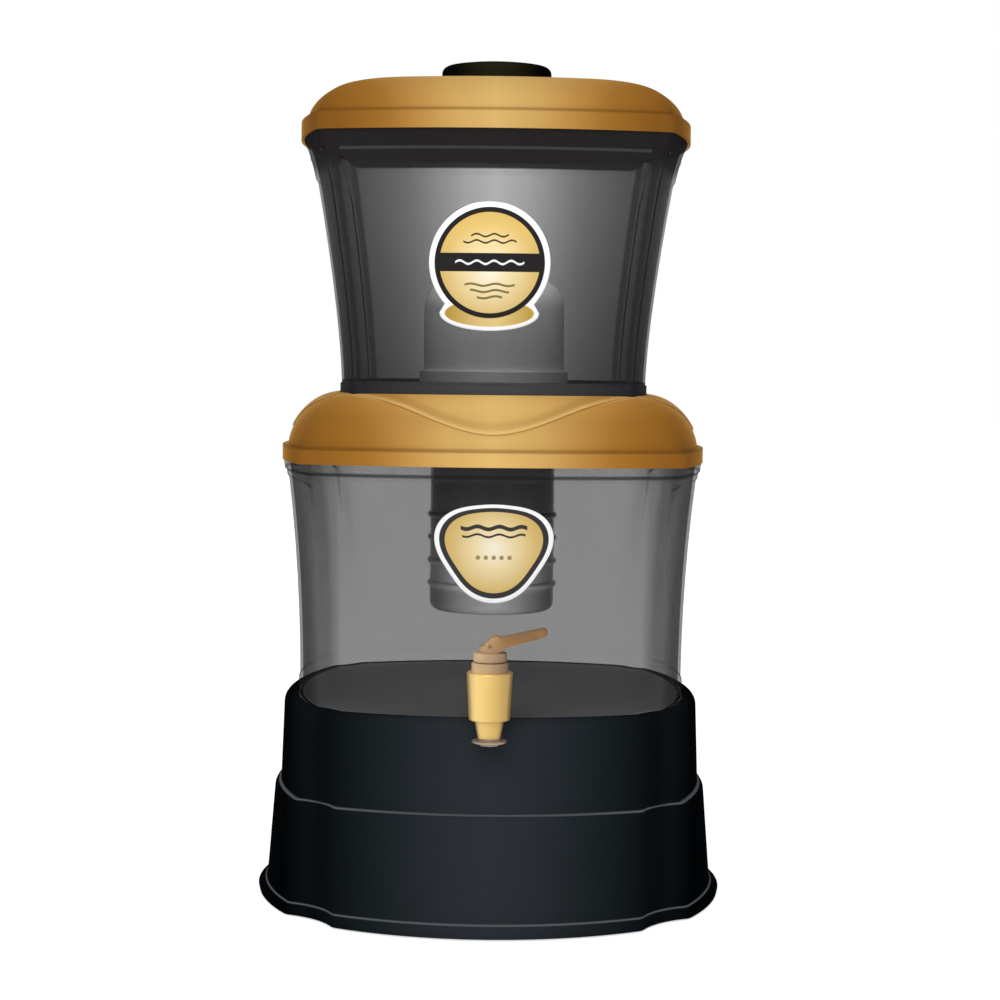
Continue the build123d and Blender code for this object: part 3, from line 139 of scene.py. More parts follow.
# ---------------------------------------------------------------- finishes
class Finish:
    """A material in the making: one Principled surface and the nodes that feed it."""

    def __init__(self, name, **settings):
        self.material = bpy.data.materials.new(name)
        self.material.use_nodes = True
        self.nodes = self.material.node_tree.nodes
        self.links = self.material.node_tree.links
        self.surface = self.nodes["Principled BSDF"]
        self.set(**settings)

    def set(self, **settings):
        """Feed sockets of the surface and give the material."""
        for setting, value in settings.items():
            self.feed(self.surface.inputs[setting.replace("_", " ")], value)
        return self.material

    def feed(self, socket, value):
        """Link a socket to another one, or set its number or colour."""
        if isinstance(value, bpy.types.NodeSocket):
            self.links.new(value, socket)
        elif isinstance(value, tuple):
            socket.default_value = (*value, 1.0)
        else:
            socket.default_value = value

    def calc(self, operation, *values, limit=False):
        """Result of one Math node."""
        node = self.nodes.new("ShaderNodeMath")
        node.operation = operation
        node.use_clamp = limit
        for socket, value in zip(node.inputs, values):
            self.feed(socket, value)
        return node.outputs[0]

    def place(self):
        """X, Y and Z of the surface in the part's own frame."""
        coordinates = self.nodes.new("ShaderNodeTexCoord").outputs["Object"]
        split = self.nodes.new("ShaderNodeSeparateXYZ")
        self.links.new(coordinates, split.inputs[0])
        return split.outputs

    def flat(self, layer):
        """U and V of one UV map."""
        node = self.nodes.new("ShaderNodeUVMap")
        node.uv_map = layer
        split = self.nodes.new("ShaderNodeSeparateXYZ")
        self.links.new(node.outputs[0], split.inputs[0])
        return split.outputs[0], split.outputs[1]

    def ramp(self, factor, stops):
        """Colour or grey level read from (position, colour) stops."""
        node = self.nodes.new("ShaderNodeValToRGB")
        elements = node.color_ramp.elements
        while len(elements) < len(stops):
            elements.new(1.0)
        for element, (position, colour) in zip(elements, stops):
            if not isinstance(colour, tuple):
                colour = (colour, colour, colour)
            element.position = position
            element.color = (*colour, 1.0)
        self.feed(node.inputs[0], factor)
        return node.outputs[0]

    def mix(self, factor, below, above, blend="MIX"):
        """Two colours mixed by a factor."""
        node = self.nodes.new("ShaderNodeMix")
        node.data_type = "RGBA"
        node.blend_type = blend
        self.feed(node.inputs["Factor"], factor)
        self.feed(node.inputs[6], below)
        self.feed(node.inputs[7], above)
        return node.outputs[2]

    def paint(self, tone, mask, colour, share=1.0):
        """Tone under a colour that covers this share of it where mask is 1."""
        return self.mix(self.calc("MULTIPLY", mask, share), tone, colour)

    def noise(self, waves, detail=3.0, roughness=0.5):
        """Noise in the part's own frame, from 0 to 1, with so many waves to the metre."""
        node = self.nodes.new("ShaderNodeTexNoise")
        coordinates = self.nodes.new("ShaderNodeTexCoord").outputs["Object"]
        self.links.new(coordinates, node.inputs["Vector"])
        node.inputs["Scale"].default_value = waves
        node.inputs["Detail"].default_value = detail
        node.inputs["Roughness"].default_value = roughness
        return node.outputs[0]

    def bump(self, height, depth):
        """Relief of the surface, from a height between 0 and 1."""
        node = self.nodes.new("ShaderNodeBump")
        node.inputs["Strength"].default_value = 1.0
        node.inputs["Distance"].default_value = depth
        self.feed(node.inputs["Height"], height)
        self.feed(self.surface.inputs["Normal"], node.outputs[0])

    def inverse(self, mask):
        """1 where mask is 0, and 0 where it is 1."""
        return self.calc("SUBTRACT", 1.0, mask)

    def step(self, value, edge, soft):
        """0 below edge, rising to 1 over soft."""
        return self.calc("DIVIDE", self.calc("SUBTRACT", value, edge), soft, limit=True)

    def band(self, value, middle, reach, soft):
        """1 where value lies within reach of middle, falling to 0 over soft."""
        away = self.calc("ABSOLUTE", self.calc("SUBTRACT", value, middle))
        return self.inverse(self.step(away, reach, soft))

    def across(self, value, width):
        """0 to 1 over a width that lies evenly to both sides of 0: value over width, plus a half."""
        return self.calc("MULTIPLY_ADD", value, 1 / width, 0.5)

    def distance(self, u, v):
        """Length of (u, v): the root of u squared plus v squared."""
        squares = self.calc("POWER", u, 2.0), self.calc("POWER", v, 2.0)
        return self.calc("SQRT", self.calc("ADD", *squares))

    def along_face(self, x, y):
        """Distance from the middle of a face along it: the smaller of |x| and |y|."""
        return self.calc("MINIMUM", self.calc("ABSOLUTE", x), self.calc("ABSOLUTE", y))

    def corner_share(self, x, y, half):
        """0 along the middle of each face, 1 at the corners: x times y over half squared."""
        product = self.calc("ABSOLUTE", self.calc("MULTIPLY", x, y))
        return self.calc("DIVIDE", product, self.calc("MULTIPLY", half, half))


class SmokedFinish(Finish):
    """Clear smoked plastic of a tank, with painted shade towards the corners of each face.

    passed is the light that one wall lets through, with painted shade in it: a level read by
    corner_share, less a share on the side faces and less a share along the edge of each
    sunk panel. rise is the share of the tank's height, and share_across that of the half
    width of a face.
    """

    SIDE_EDGE = 0.84  # share of the half width where a side face begins
    SIDE_SHADE_LOSS = 0.3  # share of the light that painted shade takes from a side face
    # Share of the light that painted shade takes along the edge of each sunk panel.
    PANEL_SHADE_LOSS = 0.35

    def __init__(self, name, tank, clear_stops, panel_soft):
        super().__init__(name, Roughness=0.12, Specular_IOR_Level=0.0, IOR=1.45)
        x, self.y, self.z = self.place()
        self.rise = self.step(self.z, tank.foot_z, tank.top_z - tank.foot_z)
        flared = self.calc("POWER", self.rise, tank.power)
        half = self.calc("MULTIPLY_ADD", flared, tank.flare, tank.foot_half)
        self.share_across = self.calc("DIVIDE", self.along_face(x, self.y), half)
        # Painted shade towards the corners of each face.
        self.passed = self.ramp(self.corner_share(x, self.y, half), clear_stops)
        share_aside = self.calc("DIVIDE", self.calc("ABSOLUTE", x), half)
        # Painted shade on the side faces.
        self.darken(self.step(share_aside, self.SIDE_EDGE, soft=0.06), self.SIDE_SHADE_LOSS)
        # Painted shade along the edge of each sunk panel.
        panel_edge = self.band(self.share_across, PANEL_SHARE, panel_soft, panel_soft)
        self.darken(panel_edge, self.PANEL_SHADE_LOSS)

    def darken(self, mask, loss):
        """Let less light through where mask is 1: what passes loses this share."""
        left = self.calc("MULTIPLY_ADD", mask, -loss, 1.0)
        self.passed = self.calc("MULTIPLY", self.passed, left)

    def finished(self, tone):
        """The material, as opaque as what passes leaves it."""
        return self.set(Base_Color=tone, Alpha=self.inverse(self.passed))


def gold_lid():
    """Satin gold plastic, with a painted highlight along the middle of each face, painted
    shade that turns it brown at the corners, painted light that changes with height and
    painted shade along the lids' grooves.

    The edge of the middle lid's draped step lies below the crown by SWAG_DROP times a
    share read from SWAG_DROPS. A painted highlight runs just above it and painted shade above that.
    """
    finish = Finish("gold_lid", Metallic=0.05, Roughness=0.5, Specular_IOR_Level=0.0)
    x, y, z = finish.place()
    upper = finish.step(z, BETWEEN_LIDS_Z, soft=0.01)
    half = finish.calc("MULTIPLY_ADD", upper, TOP_LID_HALF - MIDDLE_LID_HALF, MIDDLE_LID_HALF)
    # Painted light: a highlight along the middle of each face and shade towards the corners.
    tone = finish.ramp(finish.corner_share(x, y, half), [
        (0.00, (0.640, 0.410, 0.137)),
        (0.20, (0.555, 0.335, 0.102)),
        (0.42, (0.410, 0.205, 0.046)),
        (0.52, (0.325, 0.148, 0.026)),
        (0.62, (0.278, 0.120, 0.017)),
        (0.72, (0.225, 0.092, 0.014)),
        (1.00, (0.165, 0.068, 0.016)),
    ])
    mottle = finish.ramp(finish.noise(22, detail=4), [(0.3, 0.96), (0.7, 1.02)])
    # Painted light that changes with height: brighter on the middle lid's rim and crown.
    level = finish.ramp(finish.step(z, MIDDLE_LEVEL_Z, MIDDLE_LEVEL_RISE), [
        (0.24, 1.22), (0.30, 1.08), (0.60, 1.04), (0.72, 1.16), (0.86, 1.25), (1.0, 1.08)])
    for layer in (mottle, level):
        tone = finish.mix(1.0, tone, layer, "MULTIPLY")
    share_along = finish.calc("DIVIDE", finish.along_face(x, y), SWAG_HALF)
    drape = finish.ramp(share_along, SWAG_DROPS)
    above = finish.calc("SUBTRACT", finish.calc("MULTIPLY_ADD", drape, SWAG_DROP, z), MIDDLE_CROWN_Z)
    # Painted highlight along the edge of the draped step, and painted shade above it.
    fold_highlight = finish.band(above, middle=0.0012, reach=0.0004, soft=0.0014)
    tone = finish.paint(tone, fold_highlight, (0.78, 0.50, 0.19), share=0.6)
    shade = finish.band(above, middle=0.0048, reach=0.0006, soft=0.0034)
    tone = finish.paint(tone, shade, (0.20, 0.09, 0.02), share=0.22)
    # Painted shade along the grooves where each dome leaves its rim.
    for groove_z in (TOP_GROOVE_Z, MIDDLE_GROOVE_Z):
        groove_shade = finish.band(z, groove_z, reach=0.0006, soft=0.0012)
        tone = finish.paint(tone, groove_shade, (0.16, 0.07, 0.015), share=0.45)
    finish.bump(finish.noise(900, detail=2), depth=0.00006)
    return finish.set(Base_Color=tone)


BAND_SHARE = 0.795  # of the half width, where the band of painted shade at the mouth ends
BAND_BEND = 0.70  # of the half width, where its lower edge starts to bend down
BAND_CORNER_DROP = 0.010
FRONT_Y = -0.12  # middle of the depth in which the front face bows
BACK_FADE_Y = -0.03  # from here back the painted shade at the sides of the mouth fades


def smoked_upper():
    """Smoked plastic of the upper tank, with a band of painted shade under the top lid at its
    mouth, a painted highlight along the raised line at BEAD_Z, painted shade growing towards
    its foot and a painted shadow at the foot.

    The band's lower edge is UPPER_LIP_Z, and from BAND_BEND outwards it sinks by
    BAND_CORNER_DROP times the share of the bend squared, which rounds its lower corners.
    """
    finish = SmokedFinish("smoked_upper", UPPER_TANK, [
        (0.0, 0.815), (0.16, 0.775), (0.33, 0.695), (0.49, 0.60),
        (0.60, 0.55), (0.66, 0.515), (0.70, 0.495), (0.745, 0.48)], panel_soft=0.012)
    y, z = finish.y, finish.z
    # Painted shade that grows towards the foot.
    painted_height_shade = finish.ramp(finish.rise, [(0.0, 0.83), (0.32, 0.915), (0.57, 0.965), (0.85, 1.0)])
    finish.passed = finish.calc("MULTIPLY", finish.passed, painted_height_shade)
    # Painted shade under the top lid, in a band across the front face at the mouth.
    front = finish.calc(
        "MULTIPLY",
        finish.band(y, FRONT_Y, reach=0.022, soft=0.006),
        finish.band(finish.share_across, 0.0, BAND_SHARE, soft=0.01),
    )
    bend = finish.calc("POWER", finish.step(finish.share_across, BAND_BEND, soft=0.10), 2.0)
    above_lip = finish.calc(
        "MULTIPLY_ADD", bend, -BAND_CORNER_DROP, finish.calc("SUBTRACT", z, UPPER_LIP_Z))
    finish.darken(finish.calc("MULTIPLY", finish.step(above_lip, 0.0, soft=0.0008), front), loss=0.8)
    # Painted shade at the sides of the mouth, fading towards the back.
    beside = finish.calc(
        "SUBTRACT", finish.inverse(front), finish.step(y, BACK_FADE_Y, soft=0.07), limit=True)
    mouth_side_shade = finish.calc("MULTIPLY", finish.step(z, UPPER_LIP_Z, soft=0.006), beside)
    finish.darken(mouth_side_shade, loss=0.55)
    # Painted shadow at the foot, below the tank's floor.
    foot = finish.inverse(finish.step(z, UPPER_FOOT_Z, soft=0.0008))
    finish.darken(foot, loss=0.92)
    # Painted highlight along the raised line at BEAD_Z.
    bead_highlight = finish.calc("MULTIPLY", finish.band(z, BEAD_Z, reach=0.0007, soft=0.0006), front)
    tone = finish.mix(bead_highlight, (0.023, 0.0215, 0.0225), (0.060, 0.060, 0.063))
    # Tone of the painted shadow at the foot, paler along the middle of each face.
    foot_shadow_tone = finish.ramp(finish.share_across, [
        (0.15, (0.064, 0.065, 0.070)), (0.62, (0.038, 0.039, 0.043)), (0.85, (0.022, 0.024, 0.028))])
    return finish.finished(finish.mix(foot, tone, foot_shadow_tone))


def smoked_lower():
    """Smoked plastic of the lower tank, with a line of painted shade under its rim and a pale floor.
    """
    finish = SmokedFinish("smoked_lower", LOWER_TANK, [
        (0.0, 0.667), (0.54, 0.667), (0.61, 0.665),
        (0.65, 0.64), (0.68, 0.575), (0.70, 0.495)], panel_soft=0.010)
    # Painted shade in a line under the rim.
    finish.darken(finish.band(finish.z, LOWER_RIM_Z, reach=0.0008, soft=0.0006), loss=0.5)
    floor = finish.inverse(finish.step(finish.z, LOWER_FLOOR_Z, soft=0.0003))
    finish.darken(floor, loss=0.7)
    return finish.finished(finish.mix(floor, (0.021, 0.021, 0.022), (0.53, 0.55, 0.58)))


STAND_FADE = 0.12  # distance along a face over which its painted highlight gives way to painted shade
STAND_FLANK_X = 0.118  # from here outwards painted shade darkens the stand's sides
STAND_EDGE_HIGHLIGHT_HEIGHTS = (0.0765, 0.0088)  # painted highlights along the moulded edges at the ledge and at the skirt


def stand_plastic():
    """Satin blue-black plastic, with a painted highlight along the middle of each face,
    painted shade towards the corners and on the sides, and painted highlights along its
    moulded edges.
    """
    finish = Finish("stand_plastic", Roughness=0.6, Specular_IOR_Level=0.0)
    x, y, z = finish.place()
    # Painted highlight along the middle of each face, painted shade towards the corners.
    tone = finish.ramp(finish.calc("DIVIDE", finish.along_face(x, y), STAND_FADE), [
        (0.00, (0.0270, 0.0320, 0.0375)),
        (0.23, (0.0235, 0.0285, 0.0340)),
        (0.56, (0.0120, 0.0160, 0.0190)),
        (0.77, (0.0060, 0.0085, 0.0105)),
        (0.88, (0.0040, 0.0056, 0.0070)),
        (1.00, (0.0020, 0.0030, 0.0040)),
    ])
    # Painted shade on the stand's sides.
    flank_shade = finish.step(finish.calc("ABSOLUTE", x), STAND_FLANK_X, soft=0.016)
    tone = finish.paint(tone, flank_shade, (0.0005, 0.0007, 0.0009), share=0.91)
    # Painted highlights along the moulded edges.
    for edge_z in STAND_EDGE_HIGHLIGHT_HEIGHTS:
        edge = finish.band(z, edge_z, reach=0.0002, soft=0.0006)
        tone = finish.paint(tone, edge, (0.10, 0.11, 0.12))
    finish.bump(finish.noise(1400, detail=2), depth=0.00005)
    return finish.set(Base_Color=tone)


TAP_WIDTH = 0.03
AMBER_WIDTH = 0.024  # width of the bonnet and collar
SPOUT_RING_Z = 0.1284  # the spout ring shows below it


def gold_tap():
    """Pale gold plating of the tap, with a painted highlight on its left side and painted
    shade towards its right, and a brown spout ring.
    """
    finish = Finish("gold_tap", Metallic=0.3, Roughness=0.3, Specular_IOR_Level=0.5)
    x, _, z = finish.place()
    # Painted highlight on the tap's left side, painted shade towards its right.
    tone = finish.ramp(finish.across(x, TAP_WIDTH), [
        (0.02, (0.60, 0.40, 0.13)),
        (0.22, (0.90, 0.64, 0.22)),
        (0.45, (0.77, 0.51, 0.155)),
        (0.75, (0.58, 0.37, 0.098)),
        (1.00, (0.42, 0.26, 0.07)),
    ])
    tone = finish.mix(finish.step(z, SPOUT_RING_Z, soft=0.0003), (0.36, 0.27, 0.20), tone)
    finish.bump(finish.noise(500, detail=2), depth=0.00004)
    return finish.set(Base_Color=tone)


def amber_plastic(name, left, right):
    """Cloudy amber plastic of the tap's bonnet, collar and lever, from a left to a right tone:
    the left tone is a painted highlight and the right tone painted shade.
    """
    finish = Finish(name, Roughness=0.3, Specular_IOR_Level=0.1)
    cloud = finish.noise(70, detail=2)
    # Painted light: highlight at the left tone, shade at the right tone.
    tone = finish.ramp(finish.across(finish.place()["X"], AMBER_WIDTH), [(0.1, left), (0.9, right)])
    tone = finish.mix(1.0, tone, finish.ramp(cloud, [(0.3, 0.90), (0.7, 1.08)]), "MULTIPLY")
    finish.bump(finish.noise(260), depth=0.00003)
    return finish.set(Base_Color=tone, Alpha=finish.ramp(cloud, [(0.3, 0.86), (0.7, 0.92)]))


def black_knob():
    """Black plastic of the knob, with a warm painted highlight in its middle."""
    finish = Finish("black_knob", Roughness=0.45, Specular_IOR_Level=0.0)
    # Warm painted highlight in the middle of the knob.
    middle = finish.band(finish.place()["X"], 0.0, reach=0.008, soft=0.022)
    tone = finish.mix(middle, (0.0022, 0.0024, 0.0016), (0.017, 0.0155, 0.0085))
    finish.bump(finish.noise(700, detail=2), depth=0.00004)
    return finish.set(Base_Color=tone)


def ceramic():
    """Unglazed white ceramic with a fine grain."""
    finish = Finish("ceramic", Roughness=0.85, Specular_IOR_Level=0.2)
    grain = finish.noise(240, detail=5, roughness=0.6)
    tone = finish.ramp(grain, [(0.3, (0.86, 0.86, 0.87)), (0.7, (0.93, 0.93, 0.93))])
    finish.bump(finish.noise(1500, detail=4), depth=0.00005)
    return finish.set(Base_Color=tone)


CARTRIDGE_LIT_Z = 0.205  # below it the cartridge keeps the painted light of its foot
CARTRIDGE_FADE = 0.08  # height over which the painted light fades above that


def smoked_cartridge():
    """Dark smoked plastic of the cartridge, with painted light that makes it paler towards its foot.
    """
    finish = Finish("smoked_cartridge", Roughness=0.25, Specular_IOR_Level=0.3)
    # Painted light: a highlight near the foot, fading into the dark smoke above.
    tone = finish.ramp(finish.step(finish.place()["Z"], CARTRIDGE_LIT_Z, CARTRIDGE_FADE), [
        (0.0, (0.30, 0.30, 0.31)),
        (0.06, (0.54, 0.54, 0.56)),
        (0.22, (0.47, 0.47, 0.49)),
        (0.42, (0.28, 0.28, 0.29)),
        (0.65, (0.14, 0.135, 0.143)),
        (1.0, (0.075, 0.070, 0.078)),
    ])
    finish.bump(finish.noise(300, detail=2), depth=0.00005)
    haze = finish.ramp(finish.noise(40, detail=2), [(0.3, 0.93), (0.7, 0.97)])
    return finish.set(Base_Color=tone, Alpha=haze)


def plain(name, dark, pale, waves, depth, **settings):
    """Simple moulded finish: two close tones mottled by noise, with its relief."""
    finish = Finish(name, **settings)
    grain = finish.noise(waves, detail=4, roughness=0.6)
    finish.bump(grain, depth)
    return finish.set(Base_Color=finish.ramp(grain, [(0.35, dark), (0.65, pale)]))


def grains(name, dark, pale, size, **settings):
    """Bed of grains: cells of the grain size, each with its own tone, rounded by their edges."""
    finish = Finish(name, **settings)
    cells = finish.nodes.new("ShaderNodeTexVoronoi")
    coordinates = finish.nodes.new("ShaderNodeTexCoord").outputs["Object"]
    finish.links.new(coordinates, cells.inputs["Vector"])
    cells.inputs["Scale"].default_value = 1 / size
    spread = finish.nodes.new("ShaderNodeSeparateColor")
    finish.links.new(cells.outputs["Color"], spread.inputs[0])
    finish.bump(finish.inverse(cells.outputs["Distance"]), depth=size / 4)
    return finish.set(Base_Color=finish.ramp(spread.outputs[0], [(0.0, dark), (1.0, pale)]))


PLAIN_FINISHES = {
    "foot_rubber": dict(
        dark=(0.02, 0.02, 0.02), pale=(0.035, 0.035, 0.035), waves=400, depth=0.0001,
        Roughness=0.8),
    "white_seal": dict(
        dark=(0.72, 0.72, 0.70), pale=(0.80, 0.80, 0.78), waves=300, depth=0.00005,
        Roughness=0.6),
    "steel": dict(
        dark=(0.16, 0.16, 0.165), pale=(0.22, 0.22, 0.225), waves=500, depth=0.00003,
        Metallic=1.0, Roughness=0.3),
    "white_plastic": dict(
        dark=(0.80, 0.80, 0.80), pale=(0.86, 0.86, 0.85), waves=200, depth=0.00004,
        Roughness=0.4),
    "clear_plastic": dict(
        dark=(0.55, 0.56, 0.57), pale=(0.62, 0.63, 0.64), waves=120, depth=0.00002,
        Roughness=0.1, Specular_IOR_Level=0.04, Alpha=0.05),
    "mesh_white": dict(
        dark=(0.60, 0.60, 0.58), pale=(0.75, 0.75, 0.73), waves=1200, depth=0.0002,
        Roughness=0.9),
    "stem_amber": dict(
        dark=(0.44, 0.29, 0.16), pale=(0.50, 0.34, 0.19), waves=200, depth=0.00003,
        Roughness=0.4, Specular_IOR_Level=0.02),
    "pin_bronze": dict(
        dark=(0.26, 0.15, 0.07), pale=(0.32, 0.19, 0.09), waves=500, depth=0.00003,
        Metallic=0.2, Roughness=0.6, Specular_IOR_Level=0.0),
    "sticker_paper": dict(
        dark=(0.80, 0.80, 0.79), pale=(0.88, 0.88, 0.87), waves=600, depth=0.00001,
        Roughness=0.8, Specular_IOR_Level=0.05),
}
GRAIN_FINISHES = {
    "black_carbon": dict(
        dark=(0.01, 0.01, 0.01), pale=(0.05, 0.05, 0.05), size=0.0012, Roughness=0.8),
    "ceramic_balls": dict(
        dark=(0.35, 0.22, 0.15), pale=(0.60, 0.46, 0.36), size=0.005, Roughness=0.7),
    "silica_sand": dict(
        dark=(0.62, 0.58, 0.50), pale=(0.85, 0.82, 0.76), size=0.0015, Roughness=0.7),
    "zeolite": dict(
        dark=(0.30, 0.36, 0.27), pale=(0.52, 0.58, 0.46), size=0.002, Roughness=0.8),
    "mineral_sand": dict(
        dark=(0.42, 0.32, 0.24), pale=(0.68, 0.58, 0.48), size=0.0018, Roughness=0.8),
}
finishes = {
    "stand_plastic": stand_plastic(),
    "gold_lid": gold_lid(),
    "black_knob": black_knob(),
    "gold_tap": gold_tap(),
    # Left tone is a painted highlight, right tone painted shade.
    "amber_plastic": amber_plastic("amber_plastic", (0.78, 0.55, 0.32), (0.33, 0.22, 0.135)),
    "ceramic": ceramic(),
    "smoked_cartridge": smoked_cartridge(),
}
finishes.update({name: plain(name, **recipe) for name, recipe in PLAIN_FINISHES.items()})
finishes.update({name: grains(name, **recipe) for name, recipe in GRAIN_FINISHES.items()})
own_finishes = {
    "upper_tank": smoked_upper(),
    "lower_tank": smoked_lower(),
    # Left tone is a painted highlight, right tone painted shade.
    "tap_lever": amber_plastic("amber_lever", (0.66, 0.46, 0.26), (0.33, 0.18, 0.072)),
    "tap_stem": finishes["stem_amber"],
    "tap_lever_pin": finishes["pin_bronze"],
}
for subpart in frame["record"]["subparts"]:
    node_name, slot_name = subpart["node"], subpart["material_slot"]
    dressed = own_finishes.get(node_name) or finishes[slot_name]
    node = frame["nodes"][node_name]
    node.data.materials.clear()
    node.data.materials.append(dressed)


# ---------------------------------------------------------------- new pieces
def wrapped_grid(rows, columns):
    """Numbers of each cell's point and of the next one round, on a grid whose rows are closed."""
    row, column = np.meshgrid(np.arange(rows), np.arange(columns), indexing="ij")
    return row * columns + column, row * columns + (column + 1) % columns


def add_object(name, data):
    """New object in the scene that shows a mesh, a lamp or a camera."""
    piece = bpy.data.objects.new(name, data)
    bpy.context.scene.collection.objects.link(piece)
    return piece


def add_mesh(name, points, faces, *materials):
    """New piece from points and faces, with its place in its mesh."""
    mesh = bpy.data.meshes.new(name)
    mesh.from_pydata(points, [], faces)
    for material in materials:
        mesh.materials.append(material)
    return add_object(name, mesh)


# ---------------------------------------------------------------- stickers
RINGS = 40
SPOKES = 144
STICKER_THICK = 0.00012
STICKER_GAP = 0.00005  # between the sticker's back and the panel
PRINT_SOFT = 0.0002  # how soft the edges of the print are
INK = (0.012, 0.010, 0.010)


def sticker(name, outline, front, material):
    """Thin sticker on a bowed tank face, printed in front and plain paper behind.

    A point of its grid lies at its ring's share of outline(angle) from the sticker's
    middle, and its Y is front(x, z, inset). The hub in the middle closes the rings. UV
    map "flat" holds x and z in the sticker's own plane, and "rings" the share of the
    outline with the angle.
    """
    share, angle = np.meshgrid(
        np.linspace(0, 1, RINGS + 1)[1:], np.arange(SPOKES) * 2 * pi / SPOKES, indexing="ij")
    centre_x, centre_z, edge_x, edge_z = outline(angle)
    flat_x, flat_z = np.append(share * edge_x, 0.0), np.append(share * edge_z, 0.0)
    x, z = centre_x + flat_x, centre_z + flat_z
    y = front(x, z, PANEL_DEPTH - STICKER_GAP - STICKER_THICK)
    start, following = wrapped_grid(RINGS - 1, SPOKES)
    quads = np.stack([start, start + SPOKES, following + SPOKES, following], axis=-1)
    spoke = np.arange(SPOKES)
    hub = np.stack([np.full(SPOKES, RINGS * SPOKES), spoke, (spoke + 1) % SPOKES], axis=-1)
    points = np.stack([x, y, z], axis=-1)
    faces = quads.reshape(-1, 4).tolist() + hub.tolist()
    piece = add_mesh(name, points.tolist(), faces, material, finishes["sticker_paper"])
    mesh = piece.data
    corner = np.empty(len(mesh.loops), dtype=np.int32)
    mesh.loops.foreach_get("vertex_index", corner)
    layers = {"flat": (flat_x, flat_z), "rings": (np.append(share, 0.0), np.append(angle, 0.0))}
    for layer, (u, v) in layers.items():
        uv = np.stack([u[corner], v[corner]], axis=-1).astype(np.float32)
        mesh.uv_layers.new(name=layer).data.foreach_set("uv", uv.ravel())
    mesh.polygons.foreach_set("use_smooth", np.ones(len(mesh.polygons), dtype=bool))
    film = piece.modifiers.new("film", "SOLIDIFY")
    film.thickness = STICKER_THICK
    film.offset = -1.0
    film.material_offset = 1
    film.material_offset_rim = 1
    return piece


BADGE_X = -0.0030
BADGE_Z = 0.4258
BADGE_RADIUS = 0.0389
BADGE_BLACK = 0.0353  # outer radius of the black ring
BADGE_GOLD = 0.0321  # radius of the foil inside it
BADGE_BAND_V = 0.0003  # height of the dark band above the middle
BADGE_BAND_HALF = 0.0058
BADGE_FOOT_DROP = 0.0322  # from the badge's middle to its foot's
BADGE_FOOT_HALF = (0.0321, 0.0113)  # half width and half height of the foot
BADGE_FOOT_GOLD = (0.0287, 0.0086)
BADGE_HIGH_WAVES = ((0.0135, 0.017), (0.0175, 0.012))  # height and reach of each line
BADGE_LOW_WAVES = ((-0.014, 0.016), (-0.018, 0.0125), (-0.022, 0.008))


def badge_outline(angle):
    """Round badge joined with the flat ellipse at its foot.

    In each direction the edge is the circle or the far side of the ellipse, whichever
    lies further out. The far side solves the ellipse's equation along the ray.
    """
    along, up = np.cos(angle), np.sin(angle)
    wide, high = BADGE_FOOT_HALF
    square = (along / wide) ** 2 + (up / high) ** 2
    middle = up * BADGE_FOOT_DROP / high**2
    under_root = middle**2 - square * ((BADGE_FOOT_DROP / high) ** 2 - 1)
    far = np.where(under_root > 0, (np.sqrt(np.maximum(under_root, 0)) - middle) / square, 0)
    radius = np.maximum(BADGE_RADIUS, far)
    return BADGE_X, BADGE_Z, radius * along, radius * up


SHIELD_X = 0.0016
SHIELD_Z = 0.2462
SHIELD_RADII = (0.0338, 0.0028, -0.00286, 0.00286, 0.00059, -0.00056)
SHIELD_BLACK = 0.82  # share of the outline where the black ring starts
SHIELD_WHITE = 0.915
SHIELD_WAVES = ((0.0115, 0.021, 0.0012), (0.0065, 0.020, 0.0006))  # height, reach, thickness
DOTS = 5
DOTS_V = -0.0075  # height of their row
DOT_PITCH = 0.005
DOT_RADIUS = 0.0013
DOT_CELLS_ASIDE = 10  # whole cells added to u, so that it stays above 0


def shield_outline(angle):
    """Rounded triangle that points down: its radius sums cosines of the angle from its point."""
    cosines = enumerate(SHIELD_RADII)
    radius = sum(size * np.cos(turn * (angle + pi / 2)) for turn, size in cosines)
    return SHIELD_X, SHIELD_Z, radius * np.cos(angle), radius * np.sin(angle)


def foil(finish, u, v, reach, pale_at):
    """Gold foil that is pale at one height and deeper gold away from it."""
    beside = finish.calc("DIVIDE", u, reach)
    below = finish.calc("DIVIDE", finish.calc("SUBTRACT", v, pale_at), reach)
    return finish.ramp(finish.distance(beside, below), [
        (0.0, (0.93, 0.86, 0.70)),
        (0.35, (0.84, 0.68, 0.38)),
        (0.75, (0.66, 0.46, 0.15)),
        (1.0, (0.60, 0.40, 0.11)),
    ])


def wave(finish, u, v, height, reach, length, rise, thick):
    """Mask of one wave line, which lies at height plus rise times the sine of its turns.

    It goes reach to each side of the middle, and thick above and below its own line.
    """
    turn = finish.calc("MULTIPLY", u, 2 * pi / length)
    crest = finish.calc("MULTIPLY", finish.calc("SINE", turn), rise)
    line = finish.band(finish.calc("SUBTRACT", v, crest), height, thick, PRINT_SOFT)
    return finish.calc("MULTIPLY", line, finish.band(u, 0.0, reach, PRINT_SOFT))


